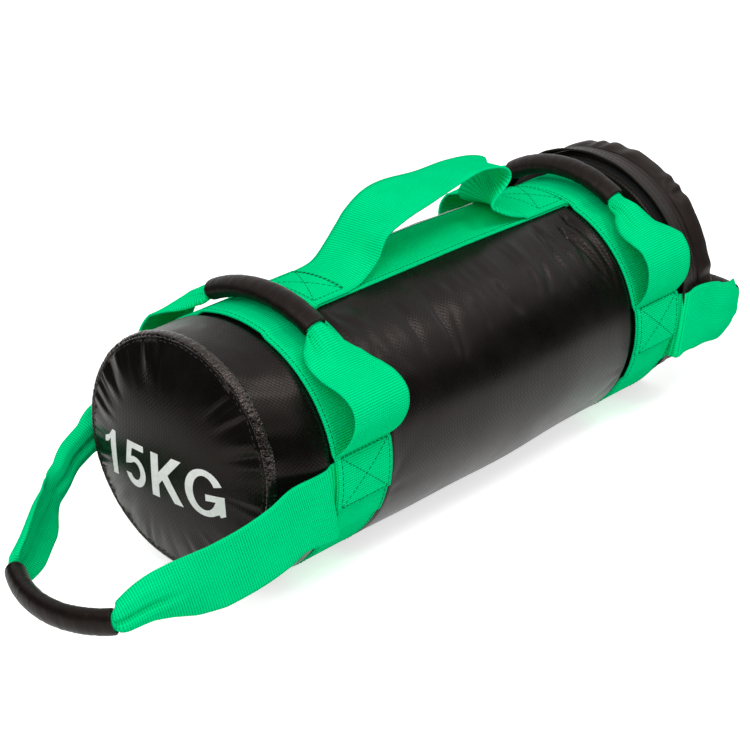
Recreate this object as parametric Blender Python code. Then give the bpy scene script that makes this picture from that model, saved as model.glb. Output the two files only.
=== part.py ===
# Training sandbag: a stuffed PVC tube with two girth bands, a top carry handle,
# two cross grips, two end handles and a zipped lid.
# Metres, +Z up. The bag lies along X on its flat underside, the weight-marked end at -X,
# the zipped lid at +X. The origin is the middle of the flat underside.

import math

import bmesh
import bpy
from mathutils import Matrix, Vector

# Clearance between pieces that touch
gap = 0.0003

# Webbing, one width for every band, strap and handle
web_width = 0.050
web_thickness = 0.0016

# Bag body between the girth bands: half axes of its section and the height of its axis
body_half_width = 0.090
body_half_height = 0.0885
body_axis_height = 0.0835
belly = 0.0015

# Girth bands
band_pitch = 0.324
far_width_share = 0.978
far_height_share = 0.974
far_axis_share = 0.998
cinch_margin = 0.003
cinch_ease = 0.008
bump_ease = 0.006
bump_margin = 0.0008

# Outer skin of the bag
skin_wall = 0.0012
near_end_length = 0.049
near_seam_share = 0.883
near_seam_rise = 0.0105
shoulder_length = 0.040

# Near end disc
disc_wall = 0.0012
disc_crown = 0.013
disc_seat = 0.0012
pucker_depth = 0.0011
pucker_count = 12
disc_eye = 0.012

# Far end of the tube, where the zip sits on a true circle
lid_rise = 0.0105
tube_end_share = 0.9367
tube_flare = 0.0030
tube_end_length = 0.0062

# Zip: two tapes and two coils
zip_line = 0.0095
tape_width = 0.0055
tape_thickness = 0.0006
coil_width = 0.0015
coil_height = 0.0013
zip_half_turn = math.radians(150.0)
stop_length = 0.003
fold_strip_half = 0.005
fold_strip_thickness = 0.001
slider_plate = 0.0012
slider_flange = 0.0014
slider_half_span = math.radians(5.0)
slider_rest_angle = math.radians(95.0)
pin_radius = 0.0006
pin_reach = 0.0022
lug_thickness = 0.0008
tab_length = 0.011
tab_width = 0.0030
tab_thickness = 0.0009
tab_ring = 0.0005

# Lid: wall, storm flap, gathered rim binding and disc
lid_wall_swell = 0.0047
lid_wall_thickness = 0.0012
lid_wall_step = 0.0015
ridge_line = 0.0205
groove_line = 0.0275
rim_line = 0.0415
flap_hem_line = 0.0040
flap_hem_stand = 0.0045
flap_thickness = 0.0012
flap_fold = 0.0016
rim_swell = 0.0015
rim_wall = 0.0016
rim_roll = 0.0030
rim_lip = 0.0100
gather_depth = 0.0007
gather_count = 26
lid_disc_wall = 0.0014
lid_disc_crown = 0.004

# Contents: foam jacket, inner bag, its tie and the sand
foam_thickness = 0.004
foam_inset = 0.004
foam_room = 0.0009
liner_wall = 0.0006
liner_room = 0.0020
liner_near_clear = 0.006
liner_shoulder = 0.022
liner_end_round = 0.030
neck_start = 0.150
neck_radius = 0.016
neck_x = 0.174
neck_hold = 0.0035
neck_mouth_radius = 0.027
neck_mouth_x = 0.190
tie_radius = 0.0022
sand_room = 0.0018
sand_end = 0.146

# Top carry handle
handle_tail_length = 0.036
handle_far_tail_length = 0.052
handle_root_radius = 0.0255
handle_root_clear = 0.0012
handle_hinge_lift = 0.0308

# Cross grips over the girth bands
grip_tail_bottom = 0.066
grip_tail_top = 0.102
grip_half_length = 0.0465
near_grip_sagitta = 0.0125
far_grip_sagitta = 0.0135
near_grip_rest_gap = 0.0022
far_grip_rest_gap = 0.0050
grip_root_radius = 0.0255
grip_root_clear = 0.0009
grip_tip_rise = 0.002

# Rubber grip sleeves, oval round the folded webbing
sleeve_half_width = 0.0100
sleeve_half_thickness = 0.0065
sleeve_wall = 0.0022
core_clear = 0.0010
core_spread = math.radians(72)
sleeve_arc_steps = 6
sleeve_entry = 0.005

# End handles
end_tail_bottom = 0.048
end_tail_depth = 0.036
end_tail_ramp = 0.0035
end_tail_clear = 0.0010
end_root_radius = 0.028
end_root_clear = 0.0009
near_axis_reach = 0.0325
far_axis_reach = 0.0370
near_loop_reach = 0.124
far_loop_reach = 0.113
end_loop_half = 0.0455
end_loop_sagitta = 0.0135
near_droop = math.radians(19.0)
far_droop = math.radians(16.0)

# Least share of a cut's thickness that may lie along its hinge
flattest_cut = 0.75

# Facet counts
around = 36
around_inner = 24
around_gathers = gather_count * 2
around_sleeve = 10

# Handle lines, as shares of the bag's half width, top height, half pitch or loop reach
near_grip_leg_shares = (
    (1.110, 0.655), (1.180, 0.735), (1.165, 0.800), (1.060, 0.838),
    (0.915, 0.846), (0.800, 0.872), (0.690, 0.925),
)
far_grip_leg_shares = (
    (1.075, 0.655), (1.110, 0.715), (1.100, 0.785), (1.030, 0.832),
    (0.930, 0.856), (0.810, 0.882), (0.680, 0.935),
)
handle_left_edge_shares = (
    (-0.556, 1.030), (-0.457, 1.080), (-0.420, 1.132), (-0.383, 1.164), (-0.265, 1.198),
    (-0.123, 1.222), (0.074, 1.258), (0.222, 1.275), (0.364, 1.250), (0.410, 1.205),
    (0.378, 1.166), (0.312, 1.130), (0.290, 1.098), (0.370, 1.062), (0.450, 1.036),
)
handle_right_edge_shares = (
    (-0.520, 1.030), (-0.430, 1.080), (-0.370, 1.125), (-0.315, 1.172), (-0.210, 1.222),
    (-0.080, 1.236), (0.130, 1.220), (0.327, 1.218), (0.510, 1.198), (0.620, 1.160),
    (0.580, 1.125), (0.490, 1.105), (0.440, 1.075), (0.450, 1.050), (0.480, 1.036),
)
end_leg_shares = ((0.17, 0.990), (0.37, 0.930), (0.62, 0.790), (0.84, 0.625))

# Worked out from the values above
half_pitch = band_pitch / 2
half_web = web_width / 2
near_band_near = -half_pitch - half_web
near_band_far = -half_pitch + half_web
far_band_near = half_pitch - half_web
far_band_far = half_pitch + half_web
near_seam_x = near_band_near - near_end_length
cinch = web_thickness + gap
far_half_width = body_half_width * far_width_share
far_half_height = body_half_height * far_height_share
far_axis_height = body_axis_height * far_axis_share
near_seam_radius = body_half_width * near_seam_share
near_seam_height = body_axis_height + near_seam_rise
lid_height = body_axis_height + lid_rise
tube_end_radius = body_half_width * tube_end_share
lid_wall_radius = tube_end_radius + lid_wall_swell
flap_hem_radius = lid_wall_radius + flap_hem_stand
rim_radius = lid_wall_radius + rim_swell
top_height = body_axis_height + body_half_height
zip_x = far_band_far + zip_line
tape_radius = tube_end_radius + gap
coil_radius = tape_radius + tape_thickness + gap
coil_top = coil_radius + coil_height
end_tail_top = end_tail_bottom + web_width
end_axis_z = end_tail_bottom + half_web
near_axis_x = near_band_near - near_axis_reach
far_axis_x = far_band_far + far_axis_reach
core_half_width = sleeve_half_width - sleeve_wall - core_clear
core_half_thickness = sleeve_half_thickness - sleeve_wall - core_clear


def clear_scene():
    for obj in list(bpy.data.objects):
        bpy.data.objects.remove(obj)


def make_material(name, colour, roughness, metallic=0.0):
    mat = bpy.data.materials.new(name)
    mat.use_nodes = True
    shader = mat.node_tree.nodes["Principled BSDF"]
    shader.inputs["Base Color"].default_value = (*colour, 1.0)
    shader.inputs["Roughness"].default_value = roughness
    shader.inputs["Metallic"].default_value = metallic
    return mat


def add_object(name, bm, mat, pivot=(0, 0, 0), smooth_angle=math.radians(40)):
    bmesh.ops.recalc_face_normals(bm, faces=bm.faces)
    if bm.calc_volume(signed=True) < 0:
        bmesh.ops.reverse_faces(bm, faces=bm.faces)
    bmesh.ops.translate(bm, verts=bm.verts, vec=-Vector(pivot))
    mesh = bpy.data.meshes.new(name)
    bm.to_mesh(mesh)
    bm.free()
    mesh.shade_smooth()
    mesh.set_sharp_from_angle(angle=smooth_angle)
    mesh.materials.append(mat)
    obj = bpy.data.objects.new(name, mesh)
    obj.location = pivot
    bpy.context.collection.objects.link(obj)
    return obj


def loft(rings, join=False):
    """Skin a row of closed rings by extruding one into the next; join makes a hollow wall."""
    bm = bmesh.new()
    count = len(rings[0])
    verts = [bm.verts.new(p) for p in rings[0]]
    first = [bm.edges.new((verts[i], verts[(i + 1) % count])) for i in range(count)]
    edges = first
    for ring in rings[1:]:
        made = bmesh.ops.extrude_edge_only(bm, edges=edges)["geom"]
        fresh = {v for v in made if isinstance(v, bmesh.types.BMVert)}
        moved = []
        for vert, place in zip(verts, ring):
            twin = next(e.other_vert(vert) for e in vert.link_edges if e.other_vert(vert) in fresh)
            twin.co = place
            moved.append(twin)
        verts = moved
        edges = [bm.edges.get((verts[i], verts[(i + 1) % count])) for i in range(count)]
    if join:
        bmesh.ops.bridge_loops(bm, edges=first + edges)
    else:
        bmesh.ops.contextual_create(bm, geom=first)
        bmesh.ops.contextual_create(bm, geom=edges)
    return bm


def mix(a, b, share):
    return a + (b - a) * share


def ease(share):
    share = min(max(share, 0.0), 1.0)
    return share * share * (3 - 2 * share)


def table(x, rows):
    """Ease between the rows (x, value, value, ...) that lie either side of x."""
    if x <= rows[0][0]:
        return rows[0][1:]
    for low, high in zip(rows, rows[1:]):
        if x <= high[0]:
            share = ease((x - low[0]) / (high[0] - low[0]))
            return tuple(mix(a, b, share) for a, b in zip(low[1:], high[1:]))
    return rows[-1][1:]


def section(x):
    """Half width, half height and axis height of the nominal skin at x."""
    rows = (
        (near_seam_x, near_seam_radius, near_seam_radius, near_seam_height),
        (near_seam_x + shoulder_length, body_half_width, body_half_height, body_axis_height),
        (0, body_half_width + belly, body_half_height, body_axis_height),
        (far_band_near, far_half_width, far_half_height, far_axis_height),
        (far_band_far, far_half_width, far_half_height, far_axis_height),
        (far_band_far + tube_flare, tube_end_radius, tube_end_radius, lid_height),
    )
    return table(x, rows)


def skin_lift(x):
    """How far the skin stands out from its nominal section: it is drawn in under the bands."""
    lift = 0.0
    for centre in (-half_pitch, half_pitch):
        past = abs(x - centre) - half_web - cinch_margin
        lift = min(lift, mix(-cinch, 0, ease(past / cinch_ease)))
    if x > far_band_far:
        lift = mix(-cinch, 0, ease((x - far_band_far) / tube_flare))
    return lift


def skin_point(x, turn, lift):
    """Point at x, turned from the top towards +Y, lift outside the nominal section."""
    width, height, axis = section(x)
    y = (width + lift) * math.sin(turn)
    z = axis + (height + lift) * math.cos(turn)
    return Vector((x, y, max(z, -lift)))


def turn_at(x, z):
    width, height, axis = section(x)
    return math.acos(min(max((z - axis) / height, -1.0), 1.0))


def skin_ring(x, lift, turns):
    return [skin_point(x, turn, lift) for turn in turns]


def even_turns(count):
    return [2 * math.pi * i / count for i in range(count)]


def circle_ring(x, radius, count, height=lid_height, wave=0.0, waves=0):
    ring = []
    for turn in even_turns(count):
        r = radius + wave * math.cos(waves * turn)
        ring.append(Vector((x, r * math.sin(turn), height + r * math.cos(turn))))
    return ring


def turned_body(profile, count):
    """Solid ring about the lid's axis from a closed profile of (x, radius)."""
    return loft([circle_ring(x, r, count) for x, r in profile], join=True)


def smooth_line(points, count):
    """Evenly spaced places on a smooth curve through the points."""
    fine = []
    last = len(points) - 1
    steps = 12
    for i in range(last):
        p0, p1 = points[max(i - 1, 0)], points[i]
        p2, p3 = points[i + 1], points[min(i + 2, last)]
        for k in range(steps):
            t = k / steps
            fine.append(((-p0 + 3 * p1 - 3 * p2 + p3) * t ** 3
                         + (2 * p0 - 5 * p1 + 4 * p2 - p3) * t ** 2
                         + (p2 - p0) * t + 2 * p1) / 2)
    fine.append(points[-1].copy())
    return even_spaced(fine, count)


def even_spaced(fine, count):
    runs = [0.0]
    for a, b in zip(fine, fine[1:]):
        runs.append(runs[-1] + (b - a).length)
    places = []
    k = 0
    for i in range(count):
        want = runs[-1] * i / (count - 1)
        while k < len(fine) - 2 and runs[k + 1] < want:
            k += 1
        share = (want - runs[k]) / (runs[k + 1] - runs[k])
        places.append(fine[k].lerp(fine[k + 1], min(share, 1.0)))
    return places


def tangents(line):
    last = len(line) - 1
    return [(line[min(i + 1, last)] - line[max(i - 1, 0)]).normalized() for i in range(last + 1)]


# Bag body

def skin_stations():
    band_edges = []
    for centre in (-half_pitch, half_pitch):
        for side in (-1, 1):
            edge = centre + side * (half_web + cinch_margin)
            band_edges += [edge, edge + side * cinch_ease]
    xs = [x for x in band_edges if x < far_band_far]
    xs += [near_seam_x, near_seam_x + shoulder_length * 0.25, near_seam_x + shoulder_length * 0.55]
    xs += [-half_pitch / 3, half_pitch / 3, far_band_far]
    xs += [far_band_far + tube_flare * 0.5, far_band_far + tube_flare, far_band_far + tube_end_length]
    return sorted(xs)


def build_skin(mat):
    turns = even_turns(around)
    xs = skin_stations()
    outer = [skin_ring(x, skin_lift(x), turns) for x in xs]
    inner = [skin_ring(x, skin_lift(x) - skin_wall, turns) for x in reversed(xs)]
    return add_object("outer_skin", loft(outer + inner, join=True), mat)


def disc_ring(share, wall, crown):
    """Ring of the near disc at a share of its radius, its rim puckered by the seam."""
    radius = near_seam_radius - disc_seat
    ring = []
    for turn in even_turns(around):
        pucker = pucker_depth * math.cos(pucker_count * turn) * ease((share - 0.6) / 0.4)
        r = radius * share
        x = near_seam_x - gap - crown * (1 - share ** 2.6) - pucker * (1 - share) * 4
        ring.append(Vector((x + wall, r * math.sin(turn), near_seam_height + r * math.cos(turn))))
    return ring


def build_near_disc(mat):
    shares = (disc_eye / near_seam_radius, 0.5, 0.8, 0.95, 1.0)
    outside = [disc_ring(s, -disc_wall, disc_crown) for s in shares]
    inside = [disc_ring(s, 0.0, disc_crown) for s in (1.0, 0.8, shares[0])]
    return add_object("near_end_disc", loft(outside + inside), mat)


def build_foam(mat):
    near = near_seam_x + foam_inset
    far = far_band_far - foam_inset
    xs = [near, near_seam_x + shoulder_length * 0.55, near_seam_x + shoulder_length, 0]
    xs += [far_band_near, far]
    turns = even_turns(around)
    lift = -cinch - skin_wall - foam_room
    outer = [skin_ring(x, lift, turns) for x in xs]
    inner = [skin_ring(x, lift - foam_thickness, turns) for x in reversed(xs)]
    return add_object("foam_jacket", loft(outer + inner, join=True), mat)


def liner_lift():
    return -cinch - skin_wall - foam_room - foam_thickness - liner_room


def liner_ring(x, lift, turns, near):
    """Ring of the inner bag: rounded at its near end, drawn in to a neck at the far one."""
    share = ease((x - neck_start) / (neck_x - neck_hold - neck_start))
    round_share = 1.0
    if x < near + liner_end_round:
        back = 1 - (x - near) / liner_end_round
        round_share = math.sqrt(max(1 - back * back, 0.35))
    axis = section(0)[2]
    ring = []
    for turn in turns:
        p = skin_point(min(x, neck_start), turn, lift)
        past = max(x - neck_x - neck_hold, 0) / (neck_mouth_x - neck_x - neck_hold)
        r = mix(neck_radius, neck_mouth_radius, past) + lift - liner_lift()
        y = mix(p.y * round_share, r * math.sin(turn), share)
        z = mix(axis + (p.z - axis) * round_share, axis + r * math.cos(turn), share)
        ring.append(Vector((x, y, z)))
    return ring


def liner_stations():
    near = near_seam_x + liner_near_clear
    xs = [near, near + liner_end_round * 0.35, near + liner_end_round, 0, neck_start]
    xs += [mix(neck_start, neck_x - neck_hold, s) for s in (0.35, 0.65, 1.0)]
    xs += [neck_x + neck_hold, neck_mouth_x]
    return near, xs


def build_liner(mat):
    near, xs = liner_stations()
    turns = even_turns(around_inner)
    outer = [liner_ring(x, liner_lift(), turns, near) for x in xs]
    inner = []
    for x in reversed(xs[1:]):
        inner.append(liner_ring(x, liner_lift() - liner_wall, turns, near))
    floor = [Vector((xs[0] + liner_wall, p.y, p.z)) for p in
             liner_ring(xs[0], liner_lift() - liner_wall, turns, near)]
    return add_object("inner_sand_bag", loft(list(outer) + inner + [floor]), mat)


def build_tie(mat):
    seat = neck_radius + gap + tie_radius
    axis = section(0)[2]
    profile = []
    for i in range(6):
        angle = 2 * math.pi * i / 6
        profile.append((neck_x + tie_radius * math.cos(angle), seat + tie_radius * math.sin(angle)))
    rings = [circle_ring(x, r, around_inner, axis) for x, r in profile]
    return add_object("inner_bag_tie", loft(rings, join=True), mat)


def build_sand(mat):
    near, xs = liner_stations()
    lift = liner_lift() - liner_wall - sand_room
    turns = even_turns(around_inner)
    start = near + liner_wall + sand_room
    places = [start] + [x for x in xs[1:] if x < sand_end] + [sand_end]
    rings = [liner_ring(x, lift, turns, near) for x in places]
    return add_object("sand_fill", loft(rings), mat)


# Girth bands and what is sewn under and over them

def end_tail_turns(x):
    return turn_at(x, end_tail_top), turn_at(x, end_tail_bottom)


def band_lift(x, turn):
    """Inside of a girth band: it rides over the strap's end and the end handles' tails."""
    turn = math.remainder(turn, 2 * math.pi)
    reach = body_half_width
    top_half = half_web / reach
    high, low = end_tail_turns(x)
    side_mid, side_half = (high + low) / 2, (low - high) / 2
    past_top = (abs(turn) - top_half) * reach - bump_margin
    past_side = (abs(abs(turn) - side_mid) - side_half) * reach - bump_margin
    past = min(past_top, past_side)
    return -cinch + gap + cinch * (1 - ease(past / bump_ease))


def band_turns(x):
    """Even turns, with extra ones where the band starts and ends each bump."""
    high, low = end_tail_turns(x)
    step = bump_ease / body_half_width
    top_half = half_web / body_half_width
    marks = [top_half, top_half / 2, top_half + step / 2, top_half + step]
    marks += [high - step, high - step / 2, low + step / 2, low + step]
    marks += [turn_at(x, end_axis_z + half_web * u) for u in across_steps()]
    marks += [turn_at(x, grip_tail_top), turn_at(x, grip_tail_bottom)]
    turns = set()
    for mark in marks:
        turns.update((mark, 2 * math.pi - mark))
    near = math.pi / around / 3
    for turn in even_turns(around):
        if all(abs(turn - other) > near for other in turns):
            turns.add(turn)
    return sorted(turns)


def build_band(name, centre, mat):
    turns = band_turns(centre)
    low, high = centre - half_web, centre + half_web

    def ring(x, lift):
        return [skin_point(x, t, band_lift(centre, t) + lift) for t in turns]

    rings = [ring(low, web_thickness), ring(high, web_thickness), ring(high, 0), ring(low, 0)]
    return add_object(name, loft(rings, join=True), mat)


def strap_body(xs, lift_at):
    """Strip of webbing along X over the top of the bag, lift_at(x) above the nominal skin."""
    turns = [half_web * s / body_half_width for s in (-1.0, -0.5, 0.0, 0.5, 1.0)]
    rings = []
    for x in xs:
        low = [skin_point(x, t, lift_at(x)) for t in turns]
        high = [skin_point(x, t, lift_at(x) + web_thickness) for t in reversed(turns)]
        rings.append(low + high)
    return loft(rings)


def strap_lift(x):
    return skin_lift(x) + gap


def build_top_strap(mat):
    near = -half_pitch
    far = half_pitch
    xs = [near] + [x for x in skin_stations() if near < x < far] + [far]
    return add_object("top_strap", strap_body(xs, strap_lift), mat)


def tail_lift(x):
    return strap_lift(x) + web_thickness + gap


def arc_line(half, sagitta, steps):
    """Places (across, rise) on a shallow arc from +half to -half, rise counted from its ends."""
    radius = (half * half + sagitta * sagitta) / (2 * sagitta)
    sweep = math.asin(half / radius)
    places = []
    for i in range(steps + 1):
        angle = mix(sweep, -sweep, i / steps)
        places.append((radius * math.sin(angle), radius * math.cos(angle) - radius + sagitta))
    return places


# Hanging webbing. A column is a row of (x, y, z, half thickness) along the webbing,
# and a web has one column for each step across its width.

def across_steps():
    """Steps across the webbing, closer together at its edges, from -1 to 1."""
    return [math.sin(math.radians(a)) for a in (-90, -56, -27, 0, 27, 56, 90)]


def web_columns(line, width_way, rolls):
    columns = []
    for u in across_steps():
        column = []
        for place, roll in zip(line, rolls):
            across = mix(u * half_web, core_half_width * math.sin(u * core_spread), roll)
            half = mix(web_thickness / 2, core_half_thickness * math.cos(u * core_spread), roll)
            p = place + width_way * across
            column.append(Vector((p.x, p.y, p.z, half)))
        columns.append(column)
    return columns


def column_at(column, index):
    k = min(int(index), len(column) - 2)
    return column[k].lerp(column[k + 1], index - k)


def first_reach(column, way, level):
    """Index along the column at which it first gets to the level."""
    for k in range(len(column) - 1):
        low, high = column[k].xyz.dot(way), column[k + 1].xyz.dot(way)
        if low <= level < high:
            return k + (level - low) / (high - low)
    return 0.0


def root_cuts(columns, hinge, way, radius):
    """Where each column crosses the round cut about the hinge, below or behind it."""
    cuts = []
    for u, column in zip(across_steps(), columns):
        back = math.sqrt(radius ** 2 - (half_web * u) ** 2)
        cuts.append(first_reach(column, way, hinge.dot(way) - back))
    return cuts


def web_rows(columns, starts, ends, steps):
    return [[column_at(column, mix(start, end, k / steps))
             for column, start, end in zip(columns, starts, ends)] for k in range(steps + 1)]


def loop_rows(columns, starts, ends, marks):
    """Rows of a loop: fanned out from one root, straight through the marks, fanned in again."""
    rows = web_rows(columns, starts, [marks[0]] * len(columns), 3)[:-1]
    rows += [[column_at(column, mark) for column in columns] for mark in marks]
    return rows + web_rows(columns, [marks[-1]] * len(columns), ends, 3)[1:]


def web_body(rows, cut_way=None, cut_rows=()):
    """Closed body of webbing: a grid extruded once and laid on both sides of the rows.
    Rows on a hinge's round cut are thickened along the hinge, so that the cut stays round."""
    count, across = len(rows), len(rows[0])
    outs = [[row_normal(rows, i, j) for j in range(across)] for i in range(count)]
    for i in cut_rows:
        outs[i] = [along_hinge(out, cut_way) for out in outs[i]]
    bm = bmesh.new()
    bmesh.ops.create_grid(bm, x_segments=count - 1, y_segments=across - 1, size=1)
    low = list(bm.verts)
    made = bmesh.ops.extrude_face_region(bm, geom=list(bm.faces))["geom"]
    high = [v for v in made if isinstance(v, bmesh.types.BMVert)]
    for verts, side in ((low, -1), (high, 1)):
        for vert in verts:
            i = round((vert.co.x + 1) / 2 * (count - 1))
            j = round((vert.co.y + 1) / 2 * (across - 1))
            vert.co = rows[i][j].xyz + outs[i][j] * rows[i][j].w * side
    return bm


def along_hinge(out, way):
    share = out.dot(way)
    if abs(share) < flattest_cut:
        share = math.copysign(flattest_cut, share)
    return way / share


def row_normal(rows, i, j):
    last, edge = len(rows) - 1, len(rows[0]) - 1
    along = rows[min(i + 1, last)][j].xyz - rows[max(i - 1, 0)][j].xyz
    across = rows[i][min(j + 1, edge)].xyz - rows[i][max(j - 1, 0)].xyz
    return along.cross(across).normalized()


def spread(first, last, count):
    return [mix(first, last, k / (count - 1)) for k in range(count)]


# Top carry handle

def handle_columns():
    """Columns of the top handle, from its near tail over to its far one."""
    mid = tail_lift(0) + web_thickness / 2
    edges = []
    for y, shares in ((-half_web, handle_left_edge_shares), (half_web, handle_right_edge_shares)):
        near = near_band_far + gap
        far = far_band_near - gap
        points = [Vector((near + handle_tail_length, y, top_height + mid))]
        points += [Vector((half_pitch * x, y, top_height * z)) for x, z in shares]
        points.append(Vector((far - handle_far_tail_length, y, top_height + mid)))
        edges.append(smooth_line(points, 64))
    columns = []
    for u in across_steps():
        column = []
        for left, right in zip(*edges):
            p = left.lerp(right, (u + 1) / 2)
            column.append(Vector((p.x, p.y, p.z, web_thickness / 2)))
        columns.append(column)
    return columns


def flat_tail_rows(start, end):
    """Rows of a handle's sewn end, following the crown of the bag between two places."""
    low, high = min(start, end), max(start, end)
    places = [x for x in skin_stations() if low < x < high]
    places = [start] + (places if start < end else places[::-1])
    rows = []
    for x in places:
        row = []
        for u in across_steps():
            p = skin_point(x, u * half_web / body_half_width, tail_lift(x) + web_thickness / 2)
            row.append(Vector((x, p.y, p.z, web_thickness / 2)))
        rows.append(row)
    return rows


def build_top_handle(mat):
    columns = handle_columns()
    last = len(columns[0]) - 1
    hinge = Vector((0, 0, top_height + handle_hinge_lift))
    up = Vector((0, 0, 1))
    radius = handle_root_radius
    backwards = [column[::-1] for column in columns]
    starts = root_cuts(columns, hinge, up, radius)
    ends = [last - cut for cut in root_cuts(backwards, hinge, up, radius)]
    marks = spread(max(starts) + 0.5, min(ends) - 0.5, 20)
    along = Vector((1, 0, 0))
    loop = web_body(loop_rows(columns, starts, ends, marks), along, (0, -1))
    add_object("top_handle_webbing", loop, mat, hinge)
    radius += handle_root_clear
    near, far = near_band_far + gap, far_band_near - gap
    cuts = root_cuts(columns, hinge, up, radius)
    rows = flat_tail_rows(near, near + handle_tail_length)
    rows += web_rows(columns, [0] * len(columns), cuts, 6)
    add_object("top_handle_near_tail", web_body(rows, along, (-1,)), mat)
    cuts = root_cuts(backwards, hinge, up, radius)
    rows = flat_tail_rows(far, far - handle_far_tail_length)
    rows += web_rows(backwards, [0] * len(columns), cuts, 12)
    add_object("top_handle_far_tail", web_body(rows, along, (-1,)), mat)


# Rubber sleeves

def sleeve_body(line, width_way):
    outer, inner = [], []
    for place, along in zip(line, tangents(line)):
        out = along.cross(width_way).normalized()
        for rings, inset in ((outer, 0), (inner, sleeve_wall)):
            ring = []
            for turn in even_turns(around_sleeve):
                across = width_way * (sleeve_half_width - inset) * math.cos(turn)
                ring.append(place + across + out * (sleeve_half_thickness - inset) * math.sin(turn))
            rings.append(ring)
    return loft(outer + inner[::-1], join=True)


def sleeve_mouth(arc):
    """Place just outside the sleeve, in line with its end."""
    return arc[0] + (arc[0] - arc[1]).normalized() * sleeve_entry


def loop_line(leg, arc):
    """One line down a leg, through the sleeve and back up the mirrored leg, with its rolls."""
    other = [Vector((p.x, -p.y, p.z)) for p in reversed(leg)]
    rolls = [ease((i / (len(leg) - 1) - 0.80) / 0.18) for i in range(len(leg) - 1)]
    return leg[:-1] + arc + other[1:], rolls + [1.0] * len(arc) + rolls[::-1]


# Cross grips

def grip_side_points(centre, side_lift):
    """Middle of the webbing where it lies sewn on the side of the girth band."""
    high, low = turn_at(centre, grip_tail_top), turn_at(centre, grip_tail_bottom)
    turns = [t for t in band_turns(centre) if high - gap < t < low + gap]
    return [skin_point(centre, t, band_lift(centre, t) + side_lift) for t in reversed(turns)]


def grip_shape(place):
    """Gap under a cross grip's sleeve, its sagitta and its leg shares."""
    if place == "near":
        return near_grip_rest_gap, near_grip_sagitta, near_grip_leg_shares
    return far_grip_rest_gap, far_grip_sagitta, far_grip_leg_shares


def grip_lines(place, centre):
    rest_gap, sagitta, shares = grip_shape(place)
    sewn = grip_side_points(centre, web_thickness * 1.5 + gap)
    crown = skin_point(centre, 0, band_lift(centre, 0) + web_thickness).z
    middle = crown + rest_gap + sleeve_half_thickness
    arc = [Vector((centre, y, middle - sagitta + rise))
           for y, rise in arc_line(grip_half_length, sagitta, sleeve_arc_steps)]
    width = section(centre)[0]
    points = [sewn[-1]] + [Vector((centre, width * y, top_height * z)) for y, z in shares]
    leg = smooth_line(points + [sleeve_mouth(arc), arc[0]], 33)
    return sewn, leg, arc


def build_grip(place, centre, webbing_mat, sleeve_mat):
    sewn, leg, arc = grip_lines(place, centre)
    width_way = Vector((1, 0, 0))
    up = Vector((0, 0, 1))
    line, rolls = loop_line(leg, arc)
    columns = web_columns(line, width_way, rolls)
    last = len(line) - 1
    hinge_z = grip_tail_top + grip_tip_rise + grip_root_radius + grip_root_clear
    hinge = Vector((centre, 0, hinge_z))
    starts = root_cuts(columns, hinge, up, grip_root_radius)
    ends = [last - cut for cut in starts]
    first = max(starts) + 0.5
    arc_start = len(leg) - 1
    marks = spread(first, arc_start, 10)[:-1]
    inside = spread(arc_start, last - arc_start, len(arc))
    marks = marks + inside + [last - m for m in reversed(marks)]
    webbing = web_body(loop_rows(columns, starts, ends, marks), Vector((0, 1, 0)), (0, -1))
    add_object(f"{place}_grip_webbing", webbing, webbing_mat, hinge)
    add_object(f"{place}_grip_sleeve", sleeve_body(arc, width_way), sleeve_mat, hinge)
    build_grip_tails(place, columns, sewn, hinge, webbing_mat)


def build_grip_tails(place, columns, sewn, hinge, mat):
    """The two sewn ends of a cross grip, flat on the girth band up to the hinge's round cut."""
    cuts = root_cuts(columns, hinge, Vector((0, 0, 1)), grip_root_radius + grip_root_clear)
    flat = web_columns(sewn, Vector((1, 0, 0)), [0.0] * len(sewn))
    rows = [[column[k] for column in flat] for k in range(len(sewn) - 1)]
    rows += web_rows(columns, [0] * len(columns), cuts, 4)
    for side, sign in (("right", 1), ("left", -1)):
        mirrored = [[Vector((p.x, p.y * sign, p.z, p.w)) for p in row] for row in rows]
        add_object(f"{place}_grip_{side}_tail", web_body(mirrored, Vector((0, 1, 0)), (-1,)), mat)


# End handles

def leg_plane(place):
    """How far out the legs of an end handle lie: clear of the skin or of the storm flap."""
    seat = body_half_width if place == "near" else flap_hem_radius
    return seat + gap + web_thickness / 2


def end_frame(place):
    """Direction along X, hinge place, reach and droop of an end handle."""
    if place == "near":
        return -1, Vector((near_axis_x, 0, end_axis_z)), near_loop_reach, near_droop
    return 1, Vector((far_axis_x, 0, end_axis_z)), far_loop_reach, far_droop


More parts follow.
